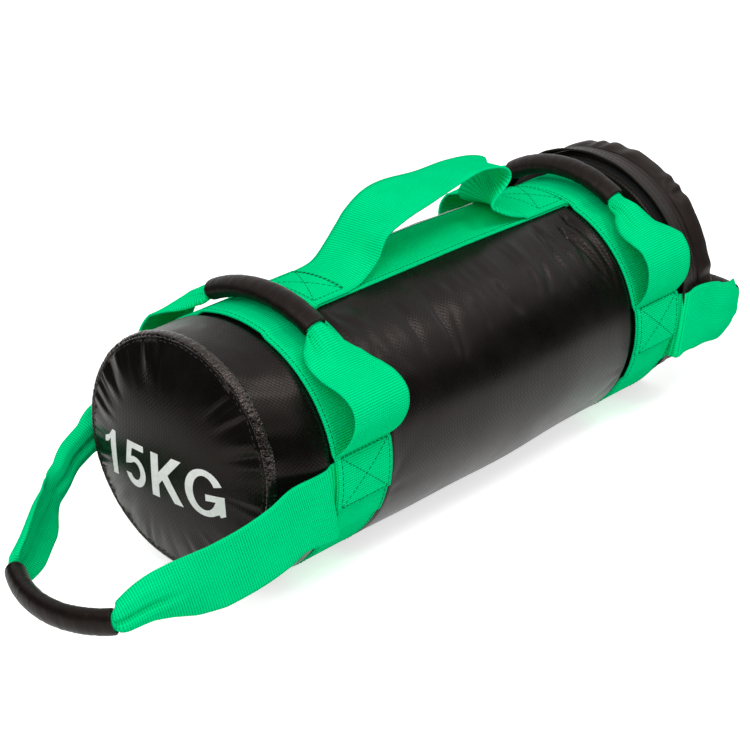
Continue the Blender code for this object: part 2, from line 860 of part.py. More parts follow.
def build_end_handle(place, webbing_mat, sleeve_mat):
    way, hinge, loop_reach, droop = end_frame(place)
    plane = leg_plane(place)
    reach_way = Vector((way * math.cos(droop), 0, -math.sin(droop)))
    width_way = Vector((way * math.sin(droop), 0, math.cos(droop)))
    across = Vector((0, 1, 0))
    arc = [hinge + reach_way * (loop_reach + rise) + across * y
           for y, rise in arc_line(end_loop_half, end_loop_sagitta, sleeve_arc_steps)]
    points = [hinge - reach_way * end_root_radius * 1.1 + across * plane, hinge + across * plane]
    points += [hinge + reach_way * loop_reach * s + across * plane * y for s, y in end_leg_shares]
    leg = smooth_line(points + [sleeve_mouth(arc), arc[0]], 33)
    line, rolls = loop_line(leg, arc)
    columns = web_columns(line, width_way, rolls)
    last = len(line) - 1
    starts = root_cuts(columns, hinge, reach_way, end_root_radius)
    ends = [last - cut for cut in starts]
    arc_start = len(leg) - 1
    marks = spread(max(starts) + 0.5, arc_start, 9)[:-1]
    inside = spread(arc_start, last - arc_start, len(arc))
    marks = marks + inside + [last - m for m in reversed(marks)]
    webbing = web_body(loop_rows(columns, starts, ends, marks))
    add_object(f"{place}_end_handle_webbing", webbing, webbing_mat, hinge)
    add_object(f"{place}_end_handle_sleeve", sleeve_body(arc, width_way), sleeve_mat, hinge)


def build_end_tails(place, mat):
    """Sewn ends of an end handle, tucked under the girth band, out to the round cut."""
    way, hinge = end_frame(place)[:2]
    band_edge = near_band_near if place == "near" else far_band_far
    plane = leg_plane(place)
    radius = end_root_radius + end_root_clear
    for side, sign in (("right", 1), ("left", -1)):
        rows = []
        start = end_tail_clear
        for offset, flatness in ((-end_tail_depth, 0), (start, 0),
                                 ((start + end_tail_ramp) / 2, 0.5), (end_tail_ramp, 1)):
            rows.append(end_tail_row(band_edge, offset * way, flatness, plane, sign))
        cut = []
        for u in across_steps():
            back = math.sqrt(radius ** 2 - (half_web * u) ** 2)
            cut.append(Vector((hinge.x - way * back, plane * sign, hinge.z + half_web * u,
                               web_thickness / 2)))
        rows.append([a.lerp(b, 0.5) for a, b in zip(rows[-1], cut)])
        rows.append(cut)
        add_object(f"{place}_end_handle_{side}_tail", web_body(rows), mat)


def end_tail_row(edge, offset, flatness, plane, sign):
    row = []
    for u in across_steps():
        z = end_axis_z + half_web * u
        x = min(max(edge + offset, near_band_near), far_band_far)
        snug = skin_point(x, turn_at(x, z), -cinch + gap + web_thickness / 2)
        y, z = mix(snug.y, plane, flatness), mix(snug.z, z, flatness)
        row.append(Vector((edge + offset, y * sign, z, web_thickness / 2)))
    return row


# Zipped lid

def ring_profile(low, high, inside, outside):
    return [(low, inside), (high, inside), (high, outside), (low, outside)]


def build_zip(tape_mat, coil_mat):
    near = zip_x - gap / 2
    far = zip_x + gap / 2
    top = tape_radius + tape_thickness
    tapes = (("zip_tape_body_side", near - tape_width, near),
             ("zip_tape_lid_side", far, far + tape_width))
    for name, low, high in tapes:
        add_object(name, turned_body(ring_profile(low, high, tape_radius, top), around), tape_mat)
    coils = (("zip_coil_body_side", near - coil_width, near),
             ("zip_coil_lid_side", far, far + coil_width))
    for name, low, high in coils:
        coil = arc_block(low, high, coil_radius, coil_top, -zip_half_turn, zip_half_turn, 30)
        add_object(name, coil, coil_mat)
    build_zip_ends(tape_mat, coil_mat)


def build_zip_ends(strip_mat, stop_mat):
    """Stops at both ends of the zip, and the strip under the bag that the lid folds back on."""
    width = coil_width + gap
    first = zip_half_turn + gap / coil_radius
    last = first + stop_length / coil_radius
    for side, sign in (("left", -1), ("right", 1)):
        stop = arc_block(zip_x - width, zip_x + width, coil_radius, coil_top + gap,
                         first * sign, last * sign, 1)
        add_object(f"zip_stop_{side}", stop, stop_mat)
    start = last + gap / coil_radius
    strip = arc_block(zip_x - fold_strip_half, zip_x + fold_strip_half, coil_radius,
                      coil_radius + fold_strip_thickness, start, 2 * math.pi - start, 6)
    add_object("lid_fold_strip", strip, strip_mat)


def build_lid(wall_mat, flap_mat, rim_mat):
    ridge = far_band_far + ridge_line
    groove = far_band_far + groove_line
    rim = far_band_far + rim_line
    start = zip_x + gap / 2 + tape_width - lid_wall_step * 2
    inside = lid_wall_radius - lid_wall_thickness
    seat = tape_radius - gap
    rise = start + lid_wall_step * 2 + gap
    wall = [(start, seat - lid_wall_thickness), (rise, seat - lid_wall_thickness),
            (ridge - flap_fold * 2, inside), (groove, inside), (groove, lid_wall_radius),
            (ridge - flap_fold * 2, lid_wall_radius), (rise, seat), (start, seat)]
    add_object("lid_wall", turned_body(wall, around), wall_mat)
    build_flap(ridge, flap_mat)
    build_rim(groove, rim, rim_mat)
    build_lid_disc(rim, wall_mat)


def build_flap(ridge, mat):
    """Storm flap: sewn to the lid at the ridge, standing open over the zip to its hem."""
    hem = far_band_far + flap_hem_line
    foot = lid_wall_radius + gap
    outer_hem = flap_hem_radius
    profile = [(hem, outer_hem - flap_thickness * 1.3), (hem, outer_hem),
               (ridge - flap_fold, foot + flap_thickness * 1.3),
               (ridge, foot + flap_thickness * 1.6), (ridge + flap_fold * 2, foot),
               (ridge - flap_fold * 2, foot)]
    add_object("storm_flap", turned_body(profile, around), mat)


def build_rim(groove, rim, mat):
    """Gathered binding round the lid's edge, turned in over the disc."""
    inner = rim_radius - rim_wall
    low = groove + gap
    rows = [(low, lid_wall_radius, 0.0), (mix(low, rim, 0.5), rim_radius, 1.0),
            (rim, rim_radius, 1.0), (rim + rim_roll, rim_radius - rim_roll, 0.8),
            (rim + rim_roll, rim_radius - rim_lip, 0.0),
            (rim + rim_roll - rim_wall, rim_radius - rim_lip, 0.0),
            (rim, inner - rim_roll, 0.0), (low, lid_wall_radius - rim_wall, 0.0)]
    rings = [circle_ring(x, r, around_gathers, wave=gather_depth * w, waves=gather_count)
             for x, r, w in rows]
    add_object("lid_rim_binding", loft(rings, join=True), mat)


def build_lid_disc(rim, mat):
    radius = rim_radius - rim_lip - gap
    back = rim + rim_roll - rim_wall
    rings = []
    for share in (0.12, 0.6, 1.0):
        x = back + lid_disc_wall + lid_disc_crown * (1 - share ** 2)
        rings.append(circle_ring(x, radius * share, around))
    for share in (1.0, 0.6, 0.12):
        x = back + lid_disc_crown * (1 - share ** 2)
        rings.append(circle_ring(x, radius * share, around))
    add_object("lid_disc", loft(rings), mat)


def around_lid(x, radius, turn):
    return Vector((x, radius * math.sin(turn), lid_height + radius * math.cos(turn)))


def arc_block(low, high, inside, outside, start, end, steps):
    """Block bent round the lid's axis."""
    rings = []
    for i in range(steps + 1):
        turn = mix(start, end, i / steps)
        rings.append([around_lid(x, r, turn) for x, r in ring_profile(low, high, inside, outside)])
    return loft(rings)


def pin_place():
    base = coil_top + gap
    radius = base + pin_radius + tab_ring + gap
    turn = slider_rest_angle + slider_half_span + pin_reach / radius
    return radius, turn


def build_slider(mat):
    """Slider: a saddle over both coils, with two lugs that hold the pull tab's pin."""
    base = coil_top + gap
    half = coil_width + gap * 1.5
    outer = half + slider_flange
    low, high = slider_rest_angle - slider_half_span, slider_rest_angle + slider_half_span
    rings = []
    foot = coil_radius + gap
    plate = base + slider_plate
    for i in range(5):
        turn = mix(low, high, i / 4)
        outline = ((-outer, foot), (-half, foot), (-half, base), (half, base), (half, foot),
                   (outer, foot), (outer, plate), (-outer, plate))
        rings.append([around_lid(zip_x + x, r, turn) for x, r in outline])
    slider = add_object("zip_slider", loft(rings), mat, (zip_x, 0, lid_height))
    radius, turn = pin_place()
    lug_end = turn + pin_radius * 2 / radius
    for side in (-1, 1):
        edge = outer * side
        inner = edge - lug_thickness * side
        lug = arc_block(zip_x + min(edge, inner), zip_x + max(edge, inner),
                        radius - pin_radius * 1.5, radius + pin_radius * 1.5,
                        high - slider_half_span / 4, lug_end, 2)
        join_to(slider, lug, (zip_x, 0, lid_height))
    join_to(slider, pin_body(zip_x - outer + lug_thickness / 2, zip_x + outer - lug_thickness / 2,
                             pin_radius), (zip_x, 0, lid_height))
    return slider


def pin_body(low, high, radius):
    centre = around_lid(0, *pin_place())
    rings = []
    for x in (low, high):
        rings.append([Vector((x, centre.y + radius * math.cos(t), centre.z + radius * math.sin(t)))
                      for t in even_turns(8)])
    return loft(rings)


def join_to(target, bm, pivot):
    tool = add_object(target.name + "_tool", bm, target.data.materials[0], pivot)
    tool.hide_render = True
    tool.display_type = "WIRE"
    union = target.modifiers.new("join", "BOOLEAN")
    union.operation = "UNION"
    union.object = tool


def build_pull_tab(mat):
    """Flat tab with a ring end that turns on the slider's pin."""
    radius, turn = pin_place()
    centre = around_lid(0, radius, turn)
    along = Vector((0, math.cos(turn), -math.sin(turn)))
    out = Vector((0, math.sin(turn), math.cos(turn)))
    bore = pin_radius + gap
    ring_radius = bore + tab_ring
    outline = []
    neck = math.asin(min(tab_thickness / 2 / ring_radius, 1.0))
    for i in range(11):
        angle = mix(neck, 2 * math.pi - neck, i / 10)
        outline.append(centre + along * ring_radius * math.cos(angle) + out * ring_radius * math.sin(angle))
    for side in (-1, 1):
        outline.append(centre + along * tab_length + out * side * tab_thickness / 2)
    half = Vector((tab_width / 2, 0, 0))
    shift = Vector((zip_x, 0, 0))
    rings = [[p + shift - half for p in outline], [p + shift + half for p in outline]]
    pivot = centre + shift
    tab = add_object("zip_pull_tab", loft(rings), mat, pivot)
    cutter = add_object("zip_pull_tab_bore", pin_body(zip_x - tab_width, zip_x + tab_width, bore),
                        mat, pivot)
    cutter.hide_render = True
    cutter.display_type = "WIRE"
    cut = tab.modifiers.new("bore", "BOOLEAN")
    cut.operation = "DIFFERENCE"
    cut.object = cutter
    return tab


def build():
    clear_scene()
    skin_mat = make_material("black_pvc", (0.012, 0.011, 0.011), 0.38)
    web_mat = make_material("green_webbing", (0.0, 0.58, 0.17), 0.75)
    rubber_mat = make_material("black_rubber", (0.012, 0.010, 0.010), 0.55)
    foam_mat = make_material("grey_foam", (0.35, 0.35, 0.36), 0.9)
    liner_mat = make_material("liner_nylon", (0.10, 0.10, 0.11), 0.7)
    tie_mat = make_material("tie_cord", (0.6, 0.6, 0.58), 0.8)
    sand_mat = make_material("dry_sand", (0.45, 0.33, 0.19), 0.95)
    tape_mat = make_material("black_zip_tape", (0.015, 0.015, 0.015), 0.8)
    coil_mat = make_material("black_zip_coil", (0.02, 0.02, 0.02), 0.45)
    slider_mat = make_material("nickel_slider", (0.55, 0.55, 0.53), 0.3, 1.0)

    build_skin(skin_mat)
    build_near_disc(skin_mat)
    build_foam(foam_mat)
    build_liner(liner_mat)
    build_tie(tie_mat)
    build_sand(sand_mat)
    for place, centre in (("near", -half_pitch), ("far", half_pitch)):
        build_band(f"{place}_girth_band", centre, web_mat)
        build_grip(place, centre, web_mat, rubber_mat)
        build_end_tails(place, web_mat)
        build_end_handle(place, web_mat, rubber_mat)
    build_top_strap(web_mat)
    build_top_handle(web_mat)
    build_zip(tape_mat, coil_mat)
    build_lid(skin_mat, skin_mat, skin_mat)
    build_slider(slider_mat)
    build_pull_tab(slider_mat)


build()
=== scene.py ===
from math import acos, asin, atan2, cos, degrees, exp, hypot, pi, radians, remainder, sin

import bmesh
import bpy
from mathutils import Matrix, Vector, noise


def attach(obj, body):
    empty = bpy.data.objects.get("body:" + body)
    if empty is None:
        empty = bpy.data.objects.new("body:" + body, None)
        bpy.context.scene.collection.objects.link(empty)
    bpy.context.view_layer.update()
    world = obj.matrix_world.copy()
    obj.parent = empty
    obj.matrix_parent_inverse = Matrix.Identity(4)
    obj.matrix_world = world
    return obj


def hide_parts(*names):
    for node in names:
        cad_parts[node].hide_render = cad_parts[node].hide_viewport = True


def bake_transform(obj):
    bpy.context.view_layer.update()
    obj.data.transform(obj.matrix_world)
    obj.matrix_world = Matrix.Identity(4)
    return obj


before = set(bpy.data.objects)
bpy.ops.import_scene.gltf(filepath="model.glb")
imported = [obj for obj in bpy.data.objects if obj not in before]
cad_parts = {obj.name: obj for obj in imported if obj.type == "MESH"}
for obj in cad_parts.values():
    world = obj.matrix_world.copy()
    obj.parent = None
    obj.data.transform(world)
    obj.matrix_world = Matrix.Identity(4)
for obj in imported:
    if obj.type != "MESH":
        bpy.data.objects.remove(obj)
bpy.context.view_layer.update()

# Sizes of the sandbag, in metres
gap = 0.0003
web_width = 0.050
web_thickness = 0.0016
body_half_width = 0.090
body_half_height = 0.0885
body_axis_height = 0.0835
belly = 0.0015
band_pitch = 0.324
far_half_width = body_half_width * 0.978
far_half_height = body_half_height * 0.974
far_axis_height = body_axis_height * 0.998
cinch_margin = 0.001
cinch_ease = 0.0045
bump_ease = 0.006
bump_margin = 0.0008
skin_wall = 0.0012
near_end_length = 0.049
shoulder_length = 0.040
disc_crown = 0.013
disc_seat = 0.0012
disc_wall = 0.0012
welt_wall = 0.0006
tube_flare = 0.0030
tube_end_length = 0.0062
lid_wall_thickness = 0.0012
ridge_line = 0.0205
groove_line = 0.0275
rim_line = 0.0415
flap_hem_line = 0.0040
flap_hem_stand = 0.0045
flap_thickness = 0.0012
flap_fold = 0.0016
flap_stitch_rows = (0.004, 0.0105)
rim_swell = 0.0015
rim_wall = 0.0016
rim_roll = 0.0030
rim_lip = 0.0100
gather_count = 26
lid_disc_wall = 0.0014
lid_disc_crown = 0.004
handle_tail_length = 0.036
handle_far_tail_length = 0.052
handle_stitch_inset = 0.004
band_stitch_inset = 0.0024
strap_stitch_inset = 0.0026
grip_stitch_inset = 0.0028
grip_tail_bottom = 0.066
grip_tail_top = 0.102
grip_half_length = 0.0465
near_grip_sagitta, far_grip_sagitta = 0.0125, 0.0135
near_grip_rest_gap, far_grip_rest_gap = 0.0022, 0.0050
grip_hinge_z = 0.1304
sleeve_wall = 0.0022
sleeve_entry = 0.005
rubber_half_width = 0.0097
rubber_half_thickness = 0.0071
near_sleeve_lift = 0.0009
near_sleeve_slide = 0.0035
end_tail_bottom = 0.048
end_tail_depth = 0.036
end_tail_ramp = 0.0035
near_axis_reach, far_axis_reach = 0.0325, 0.0370
near_loop_reach, far_loop_reach = 0.124, 0.113
end_loop_half = 0.0455
end_loop_sagitta = 0.0135
near_droop, far_droop = radians(19.0), radians(16.0)
zip_line = 0.0095
tape_width = 0.0055

# Depths of what the cloth does: swells, folds, creases, puckers, waves and pleats
skin_swell = 0.0009
skin_fold = 0.0008
corner_crease = 0.0022
low_crease = 0.0010
end_crumple = 0.0009
disc_pucker = 0.0023
welt_crinkle = 0.0005
web_crease = 0.0042
web_ripple = 0.0005
rubber_dent = 0.00028
lid_wall_wave = 0.0005
flap_wave = 0.0010
flap_ripple = 0.0004
rim_pleat = 0.0011
lid_disc_wave = 0.0006
creased_leg_depth = 0.0050
creased_leg_draw = 0.0080
front_leg_sag = 0.0042
far_root_lift = 0.0040
# How far webbing is folded up in its sleeve, and where it is creased across, from -1 to 1
sleeve_fold = radians(165)
grip_crease_place = -0.45
end_crease_place = 0.05

half_pitch = band_pitch / 2
half_web = web_width / 2
near_band_near = -half_pitch - half_web
near_band_far = -half_pitch + half_web
far_band_near = half_pitch - half_web
far_band_far = half_pitch + half_web
near_seam_x = near_band_near - near_end_length
near_seam_radius = body_half_width * 0.883
near_seam_height = body_axis_height + 0.0105
cinch = web_thickness + gap
lid_height = body_axis_height + 0.0105
tube_end_radius = body_half_width * 0.9367
lid_wall_radius = tube_end_radius + 0.0047
flap_hem_radius = lid_wall_radius + flap_hem_stand
rim_radius = lid_wall_radius + rim_swell
top_height = body_axis_height + body_half_height
end_tail_top = end_tail_bottom + web_width
end_axis_z = end_tail_bottom + half_web
near_axis_x = near_band_near - near_axis_reach
far_axis_x = far_band_far + far_axis_reach

# Handle lines, as shares of the bag's half width, top height, half pitch or loop reach
near_grip_leg_shares = (
    (1.110, 0.655), (1.180, 0.735), (1.165, 0.800), (1.060, 0.838),
    (0.915, 0.846), (0.800, 0.872), (0.690, 0.925),
)
# The near grip's sleeve has slid, and so its other leg is drawn up close over the band
near_grip_hidden_shares = (
    (1.000, 0.660), (1.000, 0.715), (0.968, 0.785), (0.892, 0.855),
    (0.775, 0.915), (0.645, 0.962), (0.525, 0.992),
)
far_grip_leg_shares = (
    (1.075, 0.655), (1.110, 0.715), (1.100, 0.785), (1.030, 0.832),
    (0.930, 0.856), (0.810, 0.882), (0.680, 0.935),
)
# The soft legs of the cross grips stand this much higher than their solids, in metres
grip_leg_lifts = (0, 0, 0.0010, 0.0026, 0.0050, 0.0060, 0.0046)
handle_left_edge_shares = (
    (-0.556, 1.030), (-0.457, 1.080), (-0.420, 1.132), (-0.383, 1.164), (-0.265, 1.198),
    (-0.123, 1.222), (0.074, 1.258), (0.222, 1.275), (0.364, 1.250), (0.410, 1.205),
    (0.378, 1.166), (0.312, 1.130), (0.290, 1.098), (0.370, 1.062), (0.450, 1.036),
)
handle_right_edge_shares = (
    (-0.520, 1.030), (-0.430, 1.080), (-0.370, 1.125), (-0.315, 1.172), (-0.210, 1.222),
    (-0.080, 1.236), (0.130, 1.220), (0.327, 1.218), (0.510, 1.198), (0.620, 1.160),
    (0.580, 1.125), (0.490, 1.105), (0.440, 1.075), (0.450, 1.050), (0.480, 1.036),
)
# Creases on the side of the body: start (x, degrees from the top), end, depth
body_creases = (
    (-0.115, -44, -0.113, -57, 0.0005), (-0.118, -40, -0.121, -47, 0.0003),
    (-0.081, -41, -0.081, -52, 0.0004), (-0.105, -44, -0.1, -55, 0.0003),
    (-0.053, -41, -0.054, -57, 0.0006), (-0.042, -46, -0.048, -61, 0.0004),
    (-0.016, -45, -0.016, -54, 0.0003), (0.013, -42, 0.017, -53, 0.0007),
    (0.047, -42, 0.045, -50, 0.0003), (0.066, -36, 0.057, -50, 0.0005),
    (0.08, -41, 0.082, -52, 0.0004), (0.109, -31, 0.118, -56, 0.0012),
    (0.088, -15, 0.08, -36, 0.0007), (0.112, -24, 0.107, -44, 0.0006),
    (0.005, -37, 0.006, -46, 0.0003), (0.121, -17, 0.127, -50, 0.0011),
    (0.104, -16, 0.098, -33, 0.0004), (0.129, -40, 0.124, -62, 0.0006),
)
# Webbing by its sleeve: distance from the rubber, and how far it is folded up there
grip_gather = ((0.0, 1.0), (0.005, 0.82), (0.018, 0.52), (0.034, 0.20), (0.050, 0.0))
wide_gather = ((0.0, 1.0), (0.002, 0.74), (0.010, 0.50), (0.026, 0.18), (0.042, 0.0))
front_gather = ((0.0, 1.0), (0.003, 0.76), (0.011, 0.44), (0.025, 0.14), (0.040, 0.0))
end_gather = ((0.0, 1.0), (0.0015, 0.80), (0.006, 0.66), (0.022, 0.46), (0.050, 0.12),
              (0.068, 0.0))
far_gather = ((0.0, 1.0), (0.006, 0.92), (0.020, 0.74), (0.040, 0.46), (0.066, 0.22),
              (0.110, 0.18), (0.140, 0.0))
creased_gather = ((0.0, 1.0), (0.0015, 0.80), (0.006, 0.60), (0.026, 0.40), (0.050, 0.34),
                  (0.072, 0.50), (0.092, 0.66), (0.125, 0.62), (0.158, 0.0))
end_leg_shares = ((0.17, 0.990), (0.37, 0.930), (0.62, 0.790), (0.84, 0.625))


# Places on the bag

def mix(a, b, share):
    return a + (b - a) * share


def full_turn(k, count):
    """Angle at step k of count steps round."""
    return 2 * pi * k / count


def noise_at(x, y, z):
    return noise.noise(Vector((x, y, z)))


def at_x(x, point):
    """The same point at another x."""
    return Vector((x, point.y, point.z))


def mirrored(line):
    """The same line on the other side of the bag."""
    return [Vector((p.x, -p.y, p.z)) for p in line]


def ease(share):
    share = min(max(share, 0.0), 1.0)
    return share * share * (3 - 2 * share)


def table(x, rows):
    """Ease between the rows (x, value, value, ...) that lie either side of x."""
    if x <= rows[0][0]:
        return rows[0][1:]
    for low, high in zip(rows, rows[1:]):
        if x <= high[0]:
            share = ease((x - low[0]) / (high[0] - low[0]))
            return tuple(mix(a, b, share) for a, b in zip(low[1:], high[1:]))
    return rows[-1][1:]


def section(x):
    """Half width, half height and axis height of the bag at x."""
    rows = (
        (near_seam_x, near_seam_radius, near_seam_radius, near_seam_height),
        (near_seam_x + shoulder_length, body_half_width, body_half_height, body_axis_height),
        (0, body_half_width + belly, body_half_height, body_axis_height),
        (far_band_near, far_half_width, far_half_height, far_axis_height),
        (far_band_far, far_half_width, far_half_height, far_axis_height),
        (far_band_far + tube_flare, tube_end_radius, tube_end_radius, lid_height),
    )
    return table(x, rows)


def skin_lift(x):
    lift = 0.0
    for centre in (-half_pitch, half_pitch):
        past = abs(x - centre) - half_web - cinch_margin
        lift = min(lift, mix(-cinch, 0, ease(past / cinch_ease)))
    if x > far_band_far:
        lift = mix(-cinch, 0, ease((x - far_band_far) / tube_flare))
    return lift


def turned(x, width, height, axis, turn):
    """Point at x on an oval about an axis at that height, turned from the top towards +Y."""
    return Vector((x, width * sin(turn), axis + height * cos(turn)))


def skin_point(x, turn, lift):
    """Point at x and turn, lift outside the nominal section and flattened on the floor."""
    width, height, axis = section(x)
    point = turned(x, width + lift, height + lift, axis, turn)
    point.z = max(point.z, -lift)
    return point


def turn_at(x, z):
    _, height, axis = section(x)
    return acos(min(max((z - axis) / height, -1.0), 1.0))


def band_lift(x, turn):
    """Inside of a girth band: it rides over the strap's end and the end handles' tails."""
    turn = remainder(turn, 2 * pi)
    top_half = half_web / body_half_width
    high, low = turn_at(x, end_tail_top), turn_at(x, end_tail_bottom)
    side_mid, side_half = (high + low) / 2, (low - high) / 2
    past_top = (abs(turn) - top_half) * body_half_width - bump_margin
    past_side = (abs(abs(turn) - side_mid) - side_half) * body_half_width - bump_margin
    past = min(past_top, past_side)
    return -cinch + gap + cinch * (1 - ease(past / bump_ease))


def strap_lift(x):
    return skin_lift(x) + gap


def tail_lift(x):
    return strap_lift(x) + web_thickness + gap


def smooth_line(points, count):
    """Evenly spaced places on a smooth curve through the points."""
    fine = []
    last = len(points) - 1
    steps = 12
    for i in range(last):
        p0, p1 = points[max(i - 1, 0)], points[i]
        p2, p3 = points[i + 1], points[min(i + 2, last)]
        for k in range(steps):
            t = k / steps
            fine.append(((-p0 + 3 * p1 - 3 * p2 + p3) * t ** 3
                         + (2 * p0 - 5 * p1 + 4 * p2 - p3) * t ** 2
                         + (p2 - p0) * t + 2 * p1) / 2)
    fine.append(points[-1].copy())
    return even_spaced(fine, count)


def run_lengths(line):
    runs = [0.0]
    for a, b in zip(line, line[1:]):
        runs.append(runs[-1] + (b - a).length)
    return runs


def even_spaced(fine, count):
    runs = run_lengths(fine)
    places = []
    k = 0
    for i in range(count):
        want = runs[-1] * i / (count - 1)
        while k < len(fine) - 2 and runs[k + 1] < want:
            k += 1
        share = (want - runs[k]) / max(runs[k + 1] - runs[k], 1e-9)
        places.append(fine[k].lerp(fine[k + 1], min(share, 1.0)))
    return places


def tangents(line):
    last = len(line) - 1
    return [(line[min(i + 1, last)] - line[max(i - 1, 0)]).normalized() for i in range(last + 1)]


def arc_line(half, sagitta, steps):
    """Places (across, rise) on a shallow arc from +half to -half, rise counted from its ends."""
    radius = (half * half + sagitta * sagitta) / (2 * sagitta)
    sweep = asin(half / radius)
    places = []
    for i in range(steps + 1):
        angle = mix(sweep, -sweep, i / steps)
        places.append((radius * sin(angle), radius * cos(angle) - radius + sagitta))
    return places


def spread(first, last, count):
    return [mix(first, last, k / (count - 1)) for k in range(count)]


def ring(steps, spot):
    """What spot(turn) gives all the way round, in this many steps."""
    return [spot(full_turn(k, steps)) for k in range(steps + 1)]


def fine_profile(points, count, spacing=even_spaced):
    """Places (x, radius) along a profile, spaced evenly or smoothly."""
    return [(p.x, p.z) for p in spacing([Vector((x, 0, r)) for x, r in points], count)]


# Materials

def srgb(code):
    """Linear colour of a six-digit sRGB hex code."""
    parts = [int(code[i:i + 2], 16) / 255 for i in (0, 2, 4)]
    return (*[c / 12.92 if c <= 0.04045 else ((c + 0.055) / 1.055) ** 2.4 for c in parts], 1.0)


def new_material(name):
    mat = bpy.data.materials.new(name)
    mat.use_nodes = True
    return mat, mat.node_tree.nodes["Principled BSDF"]


def set_up(owner, node, links=(), **values):
    """Give some inputs of a node their sources and others their values."""
    for key, source in dict(links).items():
        owner.node_tree.links.new(source, node.inputs[key])
    for key, value in values.items():
        node.inputs[key.replace("_", " ")].default_value = value
    return node


def add_node(owner, kind, settings=(), links=(), **values):
    """Add a node to a material or world: settings are its own properties, the rest its inputs."""
    node = owner.node_tree.nodes.new(kind)
    for key, value in dict(settings).items():
        setattr(node, key, value)
    return set_up(owner, node, links, **values)


def ramp(mat, source, stops):
    node = add_node(mat, "ShaderNodeValToRGB", links={"Fac": source})
    elements = node.color_ramp.elements
    for element, (place, code) in zip(elements, (stops[0], stops[-1])):
        element.position, element.color = place, srgb(code)
    for place, code in stops[1:-1]:
        elements.new(place).color = srgb(code)
    return node.outputs["Color"]


def per_metre(size):
    """Texture scale at which one cell is about this size in metres."""
    return 1 / size


def band_scale(pitch):
    """Wave texture scale at which its bands are this far apart in metres."""
    return pi / 10 / pitch


def finished(mat, shader, bumps, links, **values):
    """The material, with bumps of (height, strength, depth in metres) laid one on another."""
    normal = {}
    for height, strength, depth in bumps:
        bump = add_node(mat, "ShaderNodeBump", {}, {"Height": height, **normal},
                        Strength=strength, Distance=depth)
        normal = {"Normal": bump.outputs["Normal"]}
    set_up(mat, shader, {**links, **normal}, **values)
    return mat


# Soft black plastic and rubber have a slightly warm gloss
warm_gloss = srgb("FFECE3")
# Sizes in metres of what the finishes show
weave_pitch = 0.0016
wear_size = 0.035
rib_pitch = 0.0017
cord_pitch = 0.0020


def coated_pvc(name, dark, light, crease_size, crease_depth, weave_depth, roughness, specular):
    """PVC-coated cloth that shows the plain weave of its backing. It looks near black, with a
    gloss that sparkles on the weave and runs in streaks along the creases."""
    mat, shader = new_material(name)
    place = add_node(mat, "ShaderNodeTexCoord").outputs["Object"]
    flat = add_node(mat, "ShaderNodeUVMap", {"uv_map": "UVMap"}).outputs["UV"]
    # The real weave is about 1.3 mm; it is drawn a little coarser so that it shows
    warp, weft = [add_node(mat, "ShaderNodeTexWave", {"bands_direction": way}, {"Vector": flat},
                           Scale=band_scale(weave_pitch), Distortion=0.1, Detail=0.0)
                  for way in ("DIAGONAL", "X")]
    weave = add_node(mat, "ShaderNodeMath", {"operation": "MULTIPLY"},
                     {0: warp.outputs["Fac"], 1: weft.outputs["Fac"]})
    creases = add_node(mat, "ShaderNodeTexNoise", {}, {"Vector": place},
                       Scale=per_metre(crease_size), Detail=2.0, Roughness=0.45)
    wear = add_node(mat, "ShaderNodeTexNoise", {}, {"Vector": place},
                    Scale=per_metre(wear_size), Detail=4.0, Roughness=0.6)
    colour = ramp(mat, wear.outputs["Fac"], ((0.3, dark), (0.7, light)))
    rough = add_node(mat, "ShaderNodeMapRange", {}, {"Value": wear.outputs["Fac"]},
                     From_Min=0.3, From_Max=0.7, To_Min=roughness - 0.04, To_Max=roughness + 0.04)
    return finished(mat, shader, ((creases.outputs["Fac"], 0.7, crease_depth),
                                  (weave.outputs["Value"], 0.6, weave_depth)),
                    {"Base Color": colour, "Roughness": rough.outputs["Result"]},
                    Specular_IOR_Level=specular, Specular_Tint=warm_gloss)


def woven_webbing(name):
    """Polypropylene webbing in a heavy plain weave. It looks bright and matt, with close ribs
    straight across, drawn a little coarser than the real 1 mm so that they show."""
    mat, shader = new_material(name)
    cord_share, cloud_share = 0.25, 0.3
    place = add_node(mat, "ShaderNodeUVMap", {"uv_map": "UVMap"}).outputs["UV"]
    ribs = add_node(mat, "ShaderNodeTexWave", {"bands_direction": "X"}, {"Vector": place},
                    Scale=band_scale(rib_pitch), Distortion=0.15, Detail=0.0)
    cords = add_node(mat, "ShaderNodeTexWave", {"bands_direction": "Y"}, {"Vector": place},
                     Scale=band_scale(cord_pitch), Distortion=0.3, Detail=0.0)
    cloud = add_node(mat, "ShaderNodeTexNoise", {}, {"Vector": place},
                     Scale=per_metre(0.02), Detail=2.0)
    weave = add_node(mat, "ShaderNodeMath", {"operation": "MULTIPLY_ADD"},
                     {0: cords.outputs["Fac"], 2: ribs.outputs["Fac"]})
    weave.inputs[1].default_value = cord_share
    # The colour follows the weave's height as well as a random cloud: darker in the grooves
    # between the ribs, as painted shade
    mottle_and_rib_shade = add_node(mat, "ShaderNodeMath", {"operation": "MULTIPLY_ADD"},
                      {0: cloud.outputs["Fac"], 2: weave.outputs["Value"]})
    mottle_and_rib_shade.inputs[1].default_value = cloud_share
    colour = ramp(mat, mottle_and_rib_shade.outputs["Value"],
                  ((0.15, "009C57"), (0.5, "00DA85"), (1.0, "00E692")))
    return finished(mat, shader, ((weave.outputs["Value"], 0.8, 0.0004),),
                    {"Base Color": colour}, Roughness=0.85, Specular_IOR_Level=0.0)


